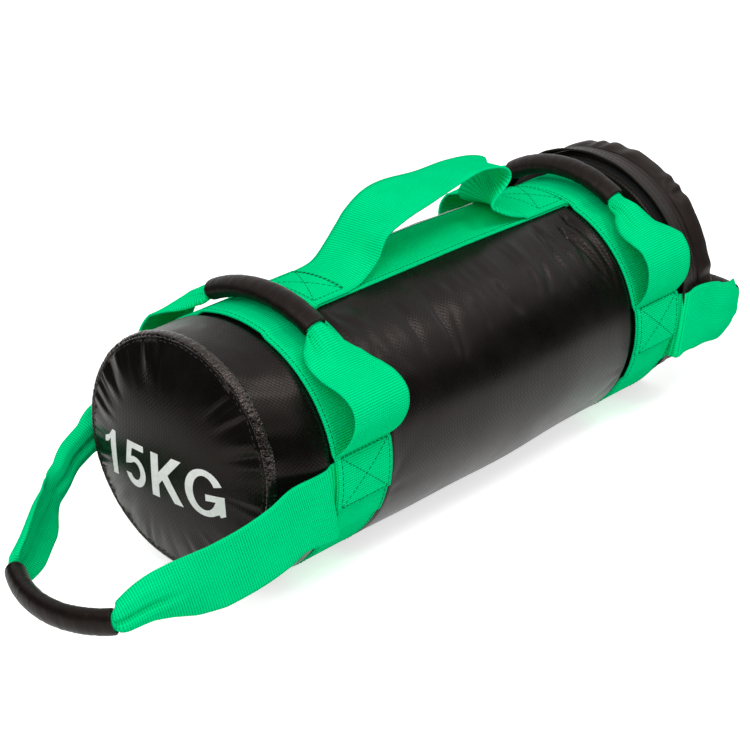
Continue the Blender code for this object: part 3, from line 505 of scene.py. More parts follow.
def moulded_rubber(name):
    """Foam rubber sleeve, moulded smooth. It looks brown-black and satin, with faint
    creases round it where it bends."""
    mat, shader = new_material(name)
    place = add_node(mat, "ShaderNodeUVMap", {"uv_map": "UVMap"}).outputs["UV"]
    stretch = add_node(mat, "ShaderNodeMapping", {}, {"Vector": place}, Scale=(1.0, 0.22, 1.0))
    rings = add_node(mat, "ShaderNodeTexNoise", {}, {"Vector": stretch.outputs["Vector"]},
                     Scale=per_metre(0.006), Detail=4.0, Roughness=0.6)
    pores = add_node(mat, "ShaderNodeTexNoise", {}, {"Vector": place},
                     Scale=per_metre(0.0012), Detail=2.0)
    colour = ramp(mat, rings.outputs["Fac"], ((0.35, "0E0A09"), (0.7, "181210")))
    return finished(mat, shader, ((rings.outputs["Fac"], 0.6, 0.0010),
                                  (pores.outputs["Fac"], 0.3, 0.0002)),
                    {"Base Color": colour}, Roughness=0.42, Specular_IOR_Level=0.16,
                    Specular_Tint=warm_gloss)


def plain_finish(name, dark, light, roughness, grain, depth, metallic=0.0, specular=0.5):
    """A finish with mottled colour and a fine grain of the given size and depth in metres."""
    mat, shader = new_material(name)
    place = add_node(mat, "ShaderNodeTexCoord").outputs["Object"]
    spots = add_node(mat, "ShaderNodeTexNoise", {}, {"Vector": place},
                     Scale=per_metre(grain), Detail=4.0, Roughness=0.65)
    colour = ramp(mat, spots.outputs["Fac"], ((0.35, dark), (0.65, light)))
    return finished(mat, shader, ((spots.outputs["Fac"], 0.6, depth),), {"Base Color": colour},
                    Roughness=roughness, Metallic=metallic, Specular_IOR_Level=specular)


body_pvc = coated_pvc("black_pvc_woven_backing", "0A0808", "110E0D", 0.030, 0.0003, 0.00013,
                      0.30, 0.17)
# The lid's base colour is lighter than the body's: partly a browner tone of its own, partly
# painted sheen that stands in for the even satin gloss of the flap and rim
lid_pvc = coated_pvc("satin_pvc_lid_painted_sheen", "1E1917", "26201E", 0.020, 0.0004, 0.00004, 0.44, 0.13)
welt_pvc = coated_pvc("glossy_black_pvc_welt", "0A0808", "110E0D", 0.0024, 0.0018, 0.00005,
                      0.22, 0.52)
webbing = woven_webbing("green_polypropylene_webbing")
rubber = moulded_rubber("brown_black_foam_rubber")
# Spun polyester thread: matt and darker than the webbing it sews; its darkness is partly painted
# shade, for the shadow in the stitch holes
green_thread = plain_finish("green_polyester_thread_painted_shade", "004F2C", "006638", 0.8, 0.0006, 0.0001,
                            specular=0.05)
black_thread = plain_finish("black_polyester_thread", "0B0A0A", "1C1918", 0.5, 0.0006, 0.0001)
# Screen-printed plastic ink: off-white, matt, very slightly blotched
print_ink = plain_finish("white_screen_print_ink", "DDDDDA", "ECECEA", 0.55, 0.004, 0.00008)
# Closed-cell foam, nylon cloth, braided cord and dry sand, all inside the bag
foam_mat = plain_finish("grey_closed_cell_foam", "8E8E90", "A2A2A5", 0.9, 0.0015, 0.0004)
nylon_mat = plain_finish("dark_nylon_liner_cloth", "4A4A4E", "5A5A60", 0.65, 0.002, 0.0003)
cord_mat = plain_finish("off_white_braided_cord", "B9B7AE", "CFCDC4", 0.8, 0.0012, 0.0003)
sand_mat = plain_finish("dry_quartz_sand", "9A7D52", "C4A678", 0.95, 0.0012, 0.0006)
# Woven zip tape, moulded zip coil and a nickel-plated slider
tape_mat = plain_finish("black_woven_zip_tape", "121111", "211E1E", 0.8, 0.0008, 0.0002)
coil_mat = plain_finish("black_nylon_zip_coil", "161515", "262424", 0.4, 0.0009, 0.0003)
nickel = plain_finish("nickel_plated_zinc", "B3B0A8", "C8C5BD", 0.28, 0.003, 0.00005, 1.0)
# Slot names of the webbing, its thread and the rubber, with black_pvc for all other pieces;
# add_piece looks a piece's slot up but does not use it
slots = {webbing: "green_webbing", green_thread: "green_webbing", rubber: "black_rubber"}


# Meshes

def new_object(name, data):
    obj = bpy.data.objects.new(name, data)
    bpy.context.collection.objects.link(obj)
    return obj


def mesh_object(name, bm, mat):
    mesh = bpy.data.meshes.new(name)
    bm.to_mesh(mesh)
    bm.free()
    mesh.materials.append(mat)
    return new_object(name, mesh)


def add_piece(name, bm, mat, nodes=(), body="bag", wall=0.0):
    """Piece that rides on a body, if one is given, and stands in for the nodes named. A wall is
    laid inwards in PVC, and half to each side in webbing."""
    obj = mesh_object(name, bm, mat)
    obj.data.shade_smooth()
    if wall:
        cloth = obj.modifiers.new("thickness", "SOLIDIFY")
        cloth.thickness = wall
        cloth.offset = 0.0 if mat == webbing else -1.0
    if body:
        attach(obj, body)
    if nodes:
        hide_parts(*nodes)
    slots.get(mat, "black_pvc")
    return obj


def cloth_grid(count, across, place, outward=None):
    """Grid of count x across corners put where place(i, j) says, with a UV map in metres.
    Edges that meet are closed. outward(point) is the way that its faces have to look."""
    bm = bmesh.new()
    uv = bm.loops.layers.uv.new("UVMap")
    bmesh.ops.create_grid(bm, x_segments=count - 1, y_segments=across - 1, size=1)
    spots = {}
    for vert in bm.verts:
        i = round((vert.co.x + 1) / 2 * (count - 1))
        j = round((vert.co.y + 1) / 2 * (across - 1))
        spots[vert] = place(i, j)
    for face in bm.faces:
        for loop in face.loops:
            loop[uv].uv = spots[loop.vert][1]
    for vert, (point, _) in spots.items():
        vert.co = point
    bmesh.ops.remove_doubles(bm, verts=bm.verts, dist=0.000001)
    bm.normal_update()
    if outward:
        face = max(bm.faces, key=lambda f: f.calc_area())
        if face.normal.dot(outward(face.calc_center_median())) < 0:
            bmesh.ops.reverse_faces(bm, faces=bm.faces)
    return bm


def from_axis(point):
    return Vector((0, point.y, point.z - body_axis_height))


def thread_at(point):
    """Place of thread and the way that it faces."""
    return point, from_axis(point).normalized()


def stitches(name, lines, mat, length=0.0034, pitch=0.0036, radius=0.00030):
    """Thread stitches laid along lines of (place, outward)."""
    bm = bmesh.new()
    for line in lines:
        places = [place for place, _ in line]
        count = max(int(run_lengths(places)[-1] / pitch), 2)
        spots = even_spaced(places, count * 2 + 1)
        outs = [out for _, out in line]
        for k in range(1, count * 2, 2):
            along = (spots[k + 1] - spots[k - 1]).normalized()
            out = outs[min(round(k / (count * 2) * (len(outs) - 1)), len(outs) - 1)]
            side = along.cross(out).normalized()
            out = side.cross(along)
            turn = Matrix((along, side, out)).transposed().to_4x4()
            size = Matrix.Diagonal((length / 2, radius, radius, 1))
            bmesh.ops.create_icosphere(bm, subdivisions=1, radius=1,
                                       matrix=Matrix.Translation(spots[k]) @ turn @ size)
    return add_piece(name, bm, mat)


# Body of the bag

def wrinkle(x, turn, corner_x, corner_turn, count, phase, reach):
    """Creases fanning out from a corner where webbing pulls the skin in."""
    dx = x - corner_x
    dy = remainder(turn - corner_turn, 2 * pi) * body_half_width
    dist = hypot(dx, dy)
    fan = 0.5 + 0.5 * cos(count * atan2(dy, dx) + phase + dist * 25)
    return fan ** 3 * ease(dist / 0.012) * exp(-dist / reach)


def crease_valley(x, angle, crease):
    """Depth of a crease at a place: a narrow valley that fades out at both ends."""
    x0, turn0, x1, turn1, depth = crease
    share = (angle - turn0) / (turn1 - turn0)
    off = (x - mix(x0, x1, min(max(share, -0.3), 1.3))) / 0.0030
    return 1.6 * depth * exp(-off * off) * ease((share + 0.4) / 0.5) * ease((1.4 - share) / 0.5)


def puff(x, turn):
    """How far the stuffed skin stands proud of, or creases below, its even shape."""
    turn = remainder(turn, 2 * pi)
    between = min(x - near_band_far, far_band_near - x)
    if between < 0:
        return 0.0
    from_strap = abs(turn) * body_half_width - half_web
    off_strap = ease((from_strap - 0.001) / 0.012)
    off_bands = ease((between - cinch_margin) / 0.014)
    spot = Vector((x * 16, sin(turn) * 1.6, cos(turn) * 1.6))
    height = skin_swell * noise.noise(spot)
    slant = x + 0.010 * turn
    fold = noise_at(slant * 60, turn * 1.3, 5.0)
    fold += 0.6 * noise_at(slant * 140, turn * 2.1, 8.0)
    upper = ease((from_strap + 0.004) / 0.02) * (1 - ease((from_strap - 0.040) / 0.035))
    height += skin_fold * fold * upper
    angle = degrees(turn)
    for crease in body_creases:
        # The hidden side has the same creases, turned end for end
        if turn > 0:
            height -= crease_valley(-x, -angle, crease)
        else:
            height -= crease_valley(x, angle, crease)
    for corner_x in (near_band_far, far_band_near):
        for side in (-1, 1):
            strap_edge, low_corner = side * half_web / body_half_width, side * 1.9
            height -= corner_crease * wrinkle(x, turn, corner_x, strap_edge, 9,
                                              corner_x * 70 + side, 0.03)
            height -= low_crease * wrinkle(x, turn, corner_x, low_corner, 7,
                                           corner_x * 40 + side * 2, 0.02)
    off_floor = ease((pi - abs(turn)) / 0.7)
    return height * off_strap * off_bands * off_floor


def build_skin():
    xs = spread(near_seam_x, near_band_near, 24)[:-1]
    xs += spread(near_band_near, near_band_far, 14)
    xs += spread(near_band_far, far_band_near, 170)[1:]
    xs += spread(far_band_near, far_band_far, 14)[1:]
    xs += [mix(far_band_far, far_band_far + tube_flare, s) for s in (0.33, 0.66, 1.0)]
    xs.append(far_band_far + tube_end_length)
    around = 181

    def place(i, j):
        turn = full_turn(j, around - 1)
        x = xs[i]
        lift = skin_lift(x) + puff(x, turn)
        if x < near_band_near:
            share = (x - near_seam_x) / near_end_length
            crumple = noise_at(x * 60, sin(turn) * 9, cos(turn) * 9)
            fade = ease(share / 0.1) * ease((1 - share) / 0.3)
            lift -= end_crumple * (0.5 + 0.5 * crumple) * fade
        return skin_point(x, turn, lift), (x, turn * body_half_width)

    bm = cloth_grid(len(xs), around, place, from_axis)
    skin = add_piece("stuffed_body_skin", bm, body_pvc, ("outer_skin",), wall=skin_wall)


def pucker(share, turn):
    """Height of the gathers that run in from the near seam: round crests and sharp valleys."""
    strong = 0.7 + 0.3 * cos(turn - radians(60))
    twist = turn + 0.25 * noise_at(cos(turn) * 2, sin(turn) * 2, 9.0)
    wave = abs(noise_at(cos(twist) * 6, sin(twist) * 6, 1.7))
    fine = abs(noise_at(cos(twist) * 13, sin(twist) * 13, 4.1))
    reach = ease((share - 0.58) / 0.34)
    return strong * ((2 * wave - 0.5) * reach + (fine - 0.2) * ease((share - 0.76) / 0.16))


def disc_point(share, turn):
    """Outside of the near disc at a share of its radius."""
    radius = near_seam_radius - disc_seat
    gathered = pucker(share, turn) * ease((1.0 - share) / 0.04)
    x = near_seam_x - gap - disc_crown * (1 - share ** 2.6) - disc_wall - disc_pucker * gathered
    return turned(x, radius * share, radius * share, near_seam_height, turn)


def build_near_disc():
    shares = spread(0.0, 0.9, 28)[:-1] + spread(0.9, 1.0, 10)
    around = 241

    def place(i, j):
        turn = full_turn(j, around - 1)
        point = disc_point(shares[i], turn)
        return point, (point.y, point.z)

    bm = cloth_grid(len(shares), around, place, lambda p: Vector((-1, 0, 0)))
    disc = add_piece("near_disc_puckered", bm, body_pvc, ("near_end_disc",), wall=disc_wall)


def build_welt():
    """Narrow crinkled strip that joins the near disc to the tube."""
    around = 361
    fine = fine_profile([(-0.0010, -0.0016), (-0.0014, -0.0004), (0.0000, 0.0006),
                         (0.0026, 0.0008), (0.0046, 0.0007), (0.0056, 0.0004),
                         (0.0058, 0.0000)], 15, smooth_line)

    def place(i, j):
        turn = full_turn(j, around - 1)
        across, lift = fine[i]
        spot = Vector((across * 160, sin(turn) * 26, cos(turn) * 26))
        crinkle = noise.noise(spot) + 0.5 * noise.noise(spot * 2.2)
        lift += welt_crinkle * (crinkle + 0.5) * sin(pi * i / (len(fine) - 1))
        x = near_seam_x + across
        width, height, axis = section(max(x, near_seam_x))
        point = turned(x, width + lift, height + lift, axis, turn)
        return point, (across, turn * near_seam_radius)

    bm = cloth_grid(len(fine), around, place, from_axis)
    add_piece("near_seam_welt", bm, welt_pvc, wall=welt_wall)
    line = ring(360, lambda turn: (disc_point(0.975, turn), Vector((-1, 0, 0))))
    stitches("near_seam_stitching", [line], black_thread, pitch=0.0046, radius=0.0004)


# Girth bands and top strap

def build_bands():
    across = 9
    around = 361
    for name, centre in (("near_girth_band", -half_pitch), ("far_girth_band", half_pitch)):

        def place(i, j):
            turn = full_turn(i, around - 1)
            x = centre + mix(-half_web, half_web, j / (across - 1))
            lift = band_lift(centre, turn) + web_thickness / 2
            return at_x(x, skin_point(centre, turn, lift)), (turn * body_half_width, x)

        bm = cloth_grid(around, across, place, from_axis)
        add_piece(name + "_webbing", bm, webbing, (name,), wall=web_thickness)

        def on_band(x, turn):
            lift = band_lift(centre, turn) + web_thickness
            return thread_at(at_x(x, skin_point(centre, turn, lift)))

        edge = half_web - band_stitch_inset
        lines = [ring(360, lambda turn: on_band(x, turn)) for x in (centre - edge, centre + edge)]
        stitches(name + "_stitching", lines, green_thread)


def build_strap():
    xs = spread(-half_pitch, half_pitch, 160)
    across = 13

    def place(i, j):
        turn = mix(-half_web, half_web, j / (across - 1)) / body_half_width
        point = skin_point(xs[i], turn, strap_lift(xs[i]) + web_thickness / 2)
        return point, (xs[i], turn * body_half_width)

    bm = cloth_grid(len(xs), across, place, from_axis)
    add_piece("top_strap_webbing", bm, webbing, ("top_strap",), wall=web_thickness)
    edge = (half_web - strap_stitch_inset) / body_half_width
    lines = [[thread_at(skin_point(x, turn, strap_lift(x) + web_thickness))
              for x in spread(near_band_far, far_band_near, 120)] for turn in (-edge, edge)]
    stitches("top_strap_stitching", lines, green_thread)


# Hanging webbing

def curl(u, roll, groove):
    """Place (across, inwards) of webbing at u across it, flat at roll 0, folded up at roll 1.
    Between these it is creased inwards where u is groove, and rippled by its gathers."""
    wide = rubber_half_width - sleeve_wall - web_thickness / 2 - gap * 2
    thick = rubber_half_thickness - sleeve_wall - web_thickness / 2 - gap * 2
    sweep = sleeve_fold * roll + 0.001
    radius = mix(half_web, wide * sleeve_fold, roll) / sweep
    flat = mix(1, thick / wide, ease(roll))
    side = radius * sin(u * sweep)
    depth = (radius * (1 - cos(u * sweep)) - wide * roll) * flat
    loose = ease((roll - 0.10) / 0.35) * ease((1 - roll) / 0.16)
    crease = web_crease * exp(-((u - groove) / 0.15) ** 2) + web_ripple * cos(17 * u)
    return side, depth + crease * loose


def web_piece(stem, count, place):
    """Ribbon of webbing that stands in for a loop and its two sewn ends. place(i, u) says where
    it is at i of count along its line and u across, from -1 to 1, and gives its run there."""
    across = 25

    def spot(i, j):
        u = mix(-1, 1, j / (across - 1))
        point, run = place(i, u)
        return point, (run, u * half_web)

    nodes = (f"{stem}_left_tail", f"{stem}_right_tail", f"{stem}_webbing")
    return add_piece(f"{stem}_ribbon", cloth_grid(count, across, spot), webbing, nodes, None,
                     web_thickness)


def face_way(way, width_way, inward):
    """Way out of a ribbon's face, on the side that inward points to."""
    out = way.cross(width_way).normalized()
    return -out if out.dot(inward) < 0 else out


def fold_at(distance, gather):
    """Straight line between the rows of gather that lie either side of a distance."""
    for low, high in zip(gather, gather[1:]):
        if distance <= high[0]:
            return mix(low[1], high[1], (distance - low[0]) / (high[0] - low[0]))
    return gather[-1][1]


def loop_line(leg, arc, other, gather, other_gather):
    """Line down a leg, through the sleeve and up the other leg, and how far it is folded.
    Both legs run from the bag to the sleeve."""
    runs, other_runs = run_lengths(leg), run_lengths(other)
    down = [fold_at(runs[-1] - run, gather) for run in runs[:-1]]
    up = [fold_at(other_runs[-1] - run, other_gather) for run in reversed(other_runs[:-1])]
    return leg[:-1] + arc + other[-2::-1], down + [1.0] * len(arc) + up


def leg_line(points, end, inner, count):
    """Smooth line of a leg into its sleeve's mouth, which looks from inner to end."""
    mouth = end + (end - inner).normalized() * sleeve_entry
    return smooth_line(points + [mouth, end], count)


def sleeve_piece(body, arc, width_way):
    """Oval rubber tube along an arc, with rounded mouths."""
    around = 49
    last = 60
    line = even_spaced(arc, last + 1)
    ways = tangents(line)
    runs = run_lengths(line)
    lip = sleeve_wall / 2 / (runs[-1] / last)
    bends = spread(0, pi, 7)[1:-1]
    rings = [(at, 0.0) for at in spread(last - lip, lip, 16)]
    rings += [(lip * (1 - sin(a)), 0.5 - 0.5 * cos(a)) for a in bends]
    rings += [(at, 1.0) for at in spread(lip, last - lip, 59)]
    rings += [(last - lip * (1 - sin(a)), 0.5 + 0.5 * cos(a)) for a in bends]

    def place(i, j):
        at, share = rings[i % len(rings)]
        turn = full_turn(j, around - 1)
        k = min(int(at), last - 1)
        spot = line[k].lerp(line[k + 1], at - k)
        out = ways[k].cross(width_way).normalized()
        inset = sleeve_wall * (1 - share)
        if share == 1.0:
            inset -= rubber_dent * noise_at(at * 0.55, cos(turn), sin(turn))
        way = width_way * (rubber_half_width - inset) * cos(turn)
        way += out * (rubber_half_thickness - inset) * sin(turn)
        run = runs[k] + (runs[k + 1] - runs[k]) * (at - k)
        return spot + way, (run, turn * rubber_half_width)

    bm = cloth_grid(len(rings) + 1, around, place)
    bmesh.ops.recalc_face_normals(bm, faces=bm.faces)
    add_piece(f"{body}_rubber", bm, rubber, (f"{body}_sleeve",), body)


def box_of_stitches(low, high, left, right, point_at):
    """Lines of a box with a cross in it, between limits in the tail's own two measures."""
    a, b, c, d = (low, left), (high, left), (high, right), (low, right)
    return [[point_at(x, y) for x, y in zip(spread(start[0], end[0], 15),
                                            spread(start[1], end[1], 15))]
            for start, end in ((a, b), (b, c), (c, d), (d, a), (a, c), (b, d))]


def handle_edges():
    mid = tail_lift(0) + web_thickness / 2
    near, far = near_band_far + gap, far_band_near - gap
    edges = []
    for y, shares in ((-half_web, handle_left_edge_shares), (half_web, handle_right_edge_shares)):
        points = [Vector((near + handle_tail_length, y, top_height + mid))]
        points += [Vector((half_pitch * x, y, top_height * z)) for x, z in shares]
        points.append(Vector((far - handle_far_tail_length, y, top_height + mid)))
        edges.append(smooth_line(points, 181))
    return edges


def tail_point(x, y, lift):
    return skin_point(x, y / body_half_width, tail_lift(x) + lift)


def build_top_handle():
    near, far = near_band_far + gap, far_band_near - gap
    left, right = handle_edges()
    near_xs = spread(near, near + handle_tail_length, 19)[:-1]
    far_xs = spread(far - handle_far_tail_length, far, 27)[1:]
    across = 13
    count = len(near_xs) + len(left) + len(far_xs)
    middle = [a.lerp(b, 0.5) for a, b in zip(left, right)]
    runs = run_lengths(middle)

    def place(i, j):
        u = mix(-1, 1, j / (across - 1))
        if i < len(near_xs):
            x = near_xs[i]
            return tail_point(x, u * half_web, web_thickness / 2), (x - near, u * half_web)
        i -= len(near_xs)
        if i >= len(left):
            x = far_xs[i - len(left)]
            run = handle_tail_length + runs[-1] + x - far + handle_far_tail_length
            return tail_point(x, u * half_web, web_thickness / 2), (run, u * half_web)
        point = left[i].lerp(right[i], (u + 1) / 2)
        level = top_height + tail_lift(0) + web_thickness / 2
        crown = level - tail_point(0, u * half_web, web_thickness / 2).z
        rise = point.z - level
        point.z -= crown * (1 - ease(rise / 0.018))
        return point, (handle_tail_length + runs[i], u * half_web)

    bm = cloth_grid(count, across, place)
    nodes = ("top_handle_near_tail", "top_handle_far_tail", "top_handle_webbing")
    ribbon = add_piece("top_handle_ribbon", bm, webbing, nodes, None, web_thickness)
    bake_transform(ribbon)

    def on_tail(x, y):
        return thread_at(tail_point(x, y, web_thickness))

    lines = []
    inset = handle_stitch_inset
    for low, high in ((near + inset, near + handle_tail_length - inset),
                      (far - handle_tail_length + inset, far - inset)):
        lines += box_of_stitches(low, high, inset - half_web, half_web - inset, on_tail)
    bar = near + handle_tail_length - inset
    for x in (bar - 0.0009, bar + 0.0009):
        lines.append([on_tail(x, y) for y in spread(-half_web + inset, half_web - inset, 15)])
    stitches("top_handle_stitching", lines, green_thread)


def build_grips():
    for place, centre in (("near", -half_pitch), ("far", half_pitch)):
        near = place == "near"
        stem = f"{place}_grip"
        high, low = turn_at(centre, grip_tail_top), turn_at(centre, grip_tail_bottom)
        lift = web_thickness * 1.5 + gap
        sewn = [skin_point(centre, t, band_lift(centre, t) + lift) for t in spread(low, high, 16)]
        crown = skin_point(centre, 0, band_lift(centre, 0) + web_thickness).z
        sagitta = near_grip_sagitta if near else far_grip_sagitta
        shares = near_grip_leg_shares if near else far_grip_leg_shares
        middle = crown + (near_grip_rest_gap + near_sleeve_lift if near else far_grip_rest_gap)
        middle += rubber_half_thickness
        # The near sleeve has slid a little towards the photographed side
        slide = near_sleeve_slide if near else 0.0
        arc = [Vector((centre, y - slide, middle - sagitta + rise))
               for y, rise in arc_line(grip_half_length, sagitta, 24)
               if y < grip_half_length - slide]
        width = section(centre)[0]
        points = [Vector((centre, width * y, top_height * z + rise))
                  for (y, z), rise in zip(shares, grip_leg_lifts)]
        hidden = [Vector((centre, width * y, top_height * z))
                  for y, z in near_grip_hidden_shares] if near else points
        leg = leg_line([sewn[-1]] + hidden, arc[0], arc[1], 70)
        other = leg_line(mirrored([sewn[-1]] + points), arc[-1], arc[-2], 70)
        gathers = (wide_gather, front_gather) if near else (grip_gather, grip_gather)
        line, rolls = loop_line(leg, arc, other, *gathers)
        line = sewn[:-1] + line + mirrored(sewn[-2::-1])
        flat = [0.0] * (len(sewn) - 1)
        rolls = flat + rolls + flat
        hinge = Vector((centre, 0, grip_hinge_z))
        width_way = Vector((1, 0, 0))
        ways = tangents(line)
        runs = run_lengths(line)

        def along(i, u):
            out = face_way(ways[i], width_way, hinge - line[i])
            side, depth = curl(u, rolls[i], grip_crease_place)
            return line[i] + width_way * side + out * depth, runs[i]

        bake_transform(web_piece(stem, len(line), along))
        sleeve_piece(stem, arc, width_way)
        lines = []
        for side in (-1, 1):

            def on_band(x, z):
                turn = turn_at(centre, z)
                lift = band_lift(centre, turn) + gap + web_thickness * 2
                return thread_at(at_x(x, skin_point(centre, side * turn, lift)))

            edge = half_web - grip_stitch_inset
            lines += box_of_stitches(centre - edge, centre + edge, grip_tail_bottom + 0.0012,
                                     grip_tail_top - 0.0012, on_band)
        stitches(f"{stem}_stitching", lines, green_thread)


# End handles

def end_tail_spot(edge, offset, flatness, plane):
    x = min(max(edge + offset, near_band_near), far_band_far)
    snug = skin_point(x, turn_at(x, end_axis_z), -cinch + gap + web_thickness / 2)
    return Vector((edge + offset, mix(snug.y, plane, flatness), end_axis_z))


def build_end_handles():
    for place in ("near", "far"):
        near = place == "near"
        stem = f"{place}_end_handle"
        way = -1 if near else 1
        droop = near_droop if near else far_droop
        reach = near_loop_reach if near else far_loop_reach
        hinge = Vector((near_axis_x if near else far_axis_x, 0, end_axis_z))
        edge = near_band_near if near else far_band_far
        plane = (body_half_width if near else flap_hem_radius) + gap + web_thickness / 2
        reach_way = Vector((way * cos(droop), 0, -sin(droop)))
        across = Vector((0, 1, 0))
        arc = [hinge + reach_way * (reach + rise) + across * y
               for y, rise in arc_line(end_loop_half, end_loop_sagitta, 24)]
        points = [end_tail_spot(edge, -end_tail_depth * way * s, 0, plane)
                  for s in (1, 0.75, 0.5, 0.25)]
        points += [end_tail_spot(edge, 0.0010 * way, 0, plane),
                   end_tail_spot(edge, (end_tail_ramp + 0.001) * way, 1, plane),
                   hinge + across * plane]
        points += [hinge + reach_way * reach * s + across * plane * y for s, y in end_leg_shares]
        leg = leg_line(points, arc[0], arc[1], 110)
        gathers = (creased_gather, end_gather) if near else (far_gather, far_gather)
        line, rolls = loop_line(leg, arc, mirrored(leg), *gathers)
        along = end_ribbon(near, line, rolls, edge, way, droop, hinge)
        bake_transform(web_piece(stem, len(line), along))
        sleeve_piece(stem, arc, Vector((way * sin(droop), 0, cos(droop))))


def end_ribbon(near, line, rolls, edge, way, droop, hinge):
    """Places along a ribbon whose width stands upright at the bag and tips with the droop."""
    ways = tangents(line)
    runs = run_lengths(line)

    def along(i, u):
        past = (line[i].x - edge) * way
        tip = droop * ease(past / abs(hinge.x - edge) + 0.5)
        width_way = Vector((way * sin(tip), 0, cos(tip)))
        out = face_way(ways[i], width_way, hinge - line[i])
        side, depth = curl(u, rolls[i], end_crease_place)
        if near:
            # Its far leg is creased the other way by its root, and its front leg sags there
            crossed = ease((line[i].y - 0.070) / 0.018)
            depth = mix(depth, -depth - creased_leg_depth * rolls[i] * (1 - rolls[i]), crossed)
            draw = creased_leg_draw * crossed * rolls[i] * ease((past - 0.055) / 0.025)
            sag = ease(past / 0.010) * (1 - ease((past - 0.014) / 0.030)) * ease((0.2 - u) / 1.2)
            shift = Vector((0, -draw, -front_leg_sag * sag))
        else:
            # It is lifted a little where it leaves its band
            lift = ease(past / 0.010) * (1 - ease((past - 0.012) / 0.030))
            shift = Vector((0, 0, far_root_lift * lift))
        point = line[i] + width_way * side + out * depth + shift
        if past < end_tail_ramp:
            z = end_axis_z + half_web * u
            x = min(max(line[i].x, near_band_near), far_band_far)
            snug = skin_point(x, turn_at(x, z), -cinch + gap + web_thickness / 2)
            lie = ease((end_tail_ramp - past) / end_tail_ramp)
            sign = 1 if line[i].y > 0 else -1
            point = point.lerp(Vector((line[i].x, sign * snug.y, snug.z)), lie)
        return point, runs[i]

    return along


# Zipped lid

def lid_piece(name, node, mat, profile, around, wobble):
    """Cloth turned about the lid's axis from a closed profile of (x, radius)."""
    line = [Vector((x, 0, r)) for x, r in profile + profile[:1]]
    runs = run_lengths(line)

    def place(i, j):
        turn = full_turn(j, around - 1)
        x, r = wobble(line[i].x, line[i].z, turn)
        return turned(x, r, r, lid_height, turn), (runs[i], turn * lid_wall_radius)

    bm = cloth_grid(len(line), around, place)
    bmesh.ops.recalc_face_normals(bm, faces=bm.faces)
    return add_piece(name, bm, mat, (node,))


def lid_wall_wobble(x, r, turn):
    return x, r + lid_wall_wave * noise_at(x * 90, sin(turn) * 6, cos(turn) * 6)


def flap_wobble(x, r, turn):
    """The flap's hem stands off unevenly; its sewn foot lies still."""
    ridge = far_band_far + ridge_line
    loose = ease((ridge - flap_fold * 2 - x) / 0.012)
    wave = noise_at(sin(turn) * 2.6, cos(turn) * 2.6, 3.0)
    fine = noise_at(sin(turn) * 11, cos(turn) * 11, x * 80)
    return x, r + loose * (flap_wave * wave + flap_ripple * fine)


def gather_wobble(x, r, turn):
    """Soft pleats across the rim binding, uneven in depth and spacing."""
    groove = far_band_far + groove_line
    deep = ease((x - groove) / 0.006)
    shift = 0.35 * noise_at(sin(turn) * 3, cos(turn) * 3, 0.4)
    size = 0.65 + 0.5 * noise_at(sin(turn) * 5, cos(turn) * 5, 2.2)
    fold = cos(gather_count * (turn + shift))
    return x, r + rim_pleat * deep * size * fold


def build_lid():
    ridge = far_band_far + ridge_line
    groove = far_band_far + groove_line
    rim = far_band_far + rim_line
    start = far_band_far + zip_line + gap / 2 + tape_width + gap
    wall = fine_profile([(start, tube_end_radius),
                         (ridge - flap_fold * 2, lid_wall_radius - gap),
                         (groove, lid_wall_radius - gap)], 22)
    inner = [(x, r - lid_wall_thickness) for x, r in reversed(wall)]
    lid_piece("lid_wall_skin", "lid_wall", lid_pvc, wall + inner, 241, lid_wall_wobble)
    hem = far_band_far + flap_hem_line
    foot = lid_wall_radius + gap
    outer = fine_profile([(hem, flap_hem_radius), (ridge - flap_fold, foot + flap_thickness * 1.4),
                          (ridge, foot + flap_thickness * 1.6),
                          (ridge + flap_fold * 2, foot + gap)], 24)
    under = fine_profile([(ridge + flap_fold, foot), (ridge - flap_fold * 2, foot),
                          (hem, flap_hem_radius - flap_thickness * 1.3)], 18)
    lid_piece("storm_flap_skin", "storm_flap", lid_pvc, outer + under, 241, flap_wobble)
    build_rim(groove, rim)
    build_lid_disc(rim)

    def on_hem(x, turn):
        share = (x - hem) / (ridge - flap_fold - hem)
        _, r = flap_wobble(x, mix(flap_hem_radius, foot + flap_thickness * 1.4, share), turn)
        return turned(x, r, r, lid_height, turn), turned(0, 1, 1, 0, turn)

    lines = [ring(240, lambda turn: on_hem(hem + row, turn)) for row in flap_stitch_rows]
    stitches("storm_flap_stitching", lines, black_thread)


def build_rim(groove, rim):
    low = groove + gap
    outer = [(low, lid_wall_radius), (mix(low, rim, 0.25), rim_radius - 0.0003),
             (mix(low, rim, 0.55), rim_radius + 0.0003), (rim, rim_radius),
             (rim + rim_roll * 0.8, rim_radius - rim_roll * 0.35),
             (rim + rim_roll, rim_radius - rim_roll), (rim + rim_roll, rim_radius - rim_lip)]
    outer = fine_profile(outer, 34, smooth_line)
    back = [(rim + rim_roll - rim_wall, rim_radius - rim_lip),
            (rim, rim_radius - rim_wall - rim_roll), (low, lid_wall_radius - rim_wall)]
    lid_piece("gathered_rim_binding", "lid_rim_binding", lid_pvc, outer + back, 417,
              gather_wobble)


def build_lid_disc(rim):
    radius = rim_radius - rim_lip - gap
    back = rim + rim_roll - rim_wall
    outer = [(back + lid_disc_wall + lid_disc_crown * (1 - s ** 2), radius * s)
             for s in spread(1.0, 0.0, 20)]
    inner = [(back + lid_disc_crown * (1 - s ** 2), radius * s) for s in spread(0.0, 1.0, 10)]

    def ripple(x, r, turn):
        wave = noise_at(r * sin(turn) * 40, r * cos(turn) * 40, 0.7)
        return x + lid_disc_wave * wave * ease((radius - r) / 0.01), r

    disc = lid_piece("lid_disc_skin", "lid_disc", body_pvc, outer + inner, 181, ripple)


# Weight mark on the near disc

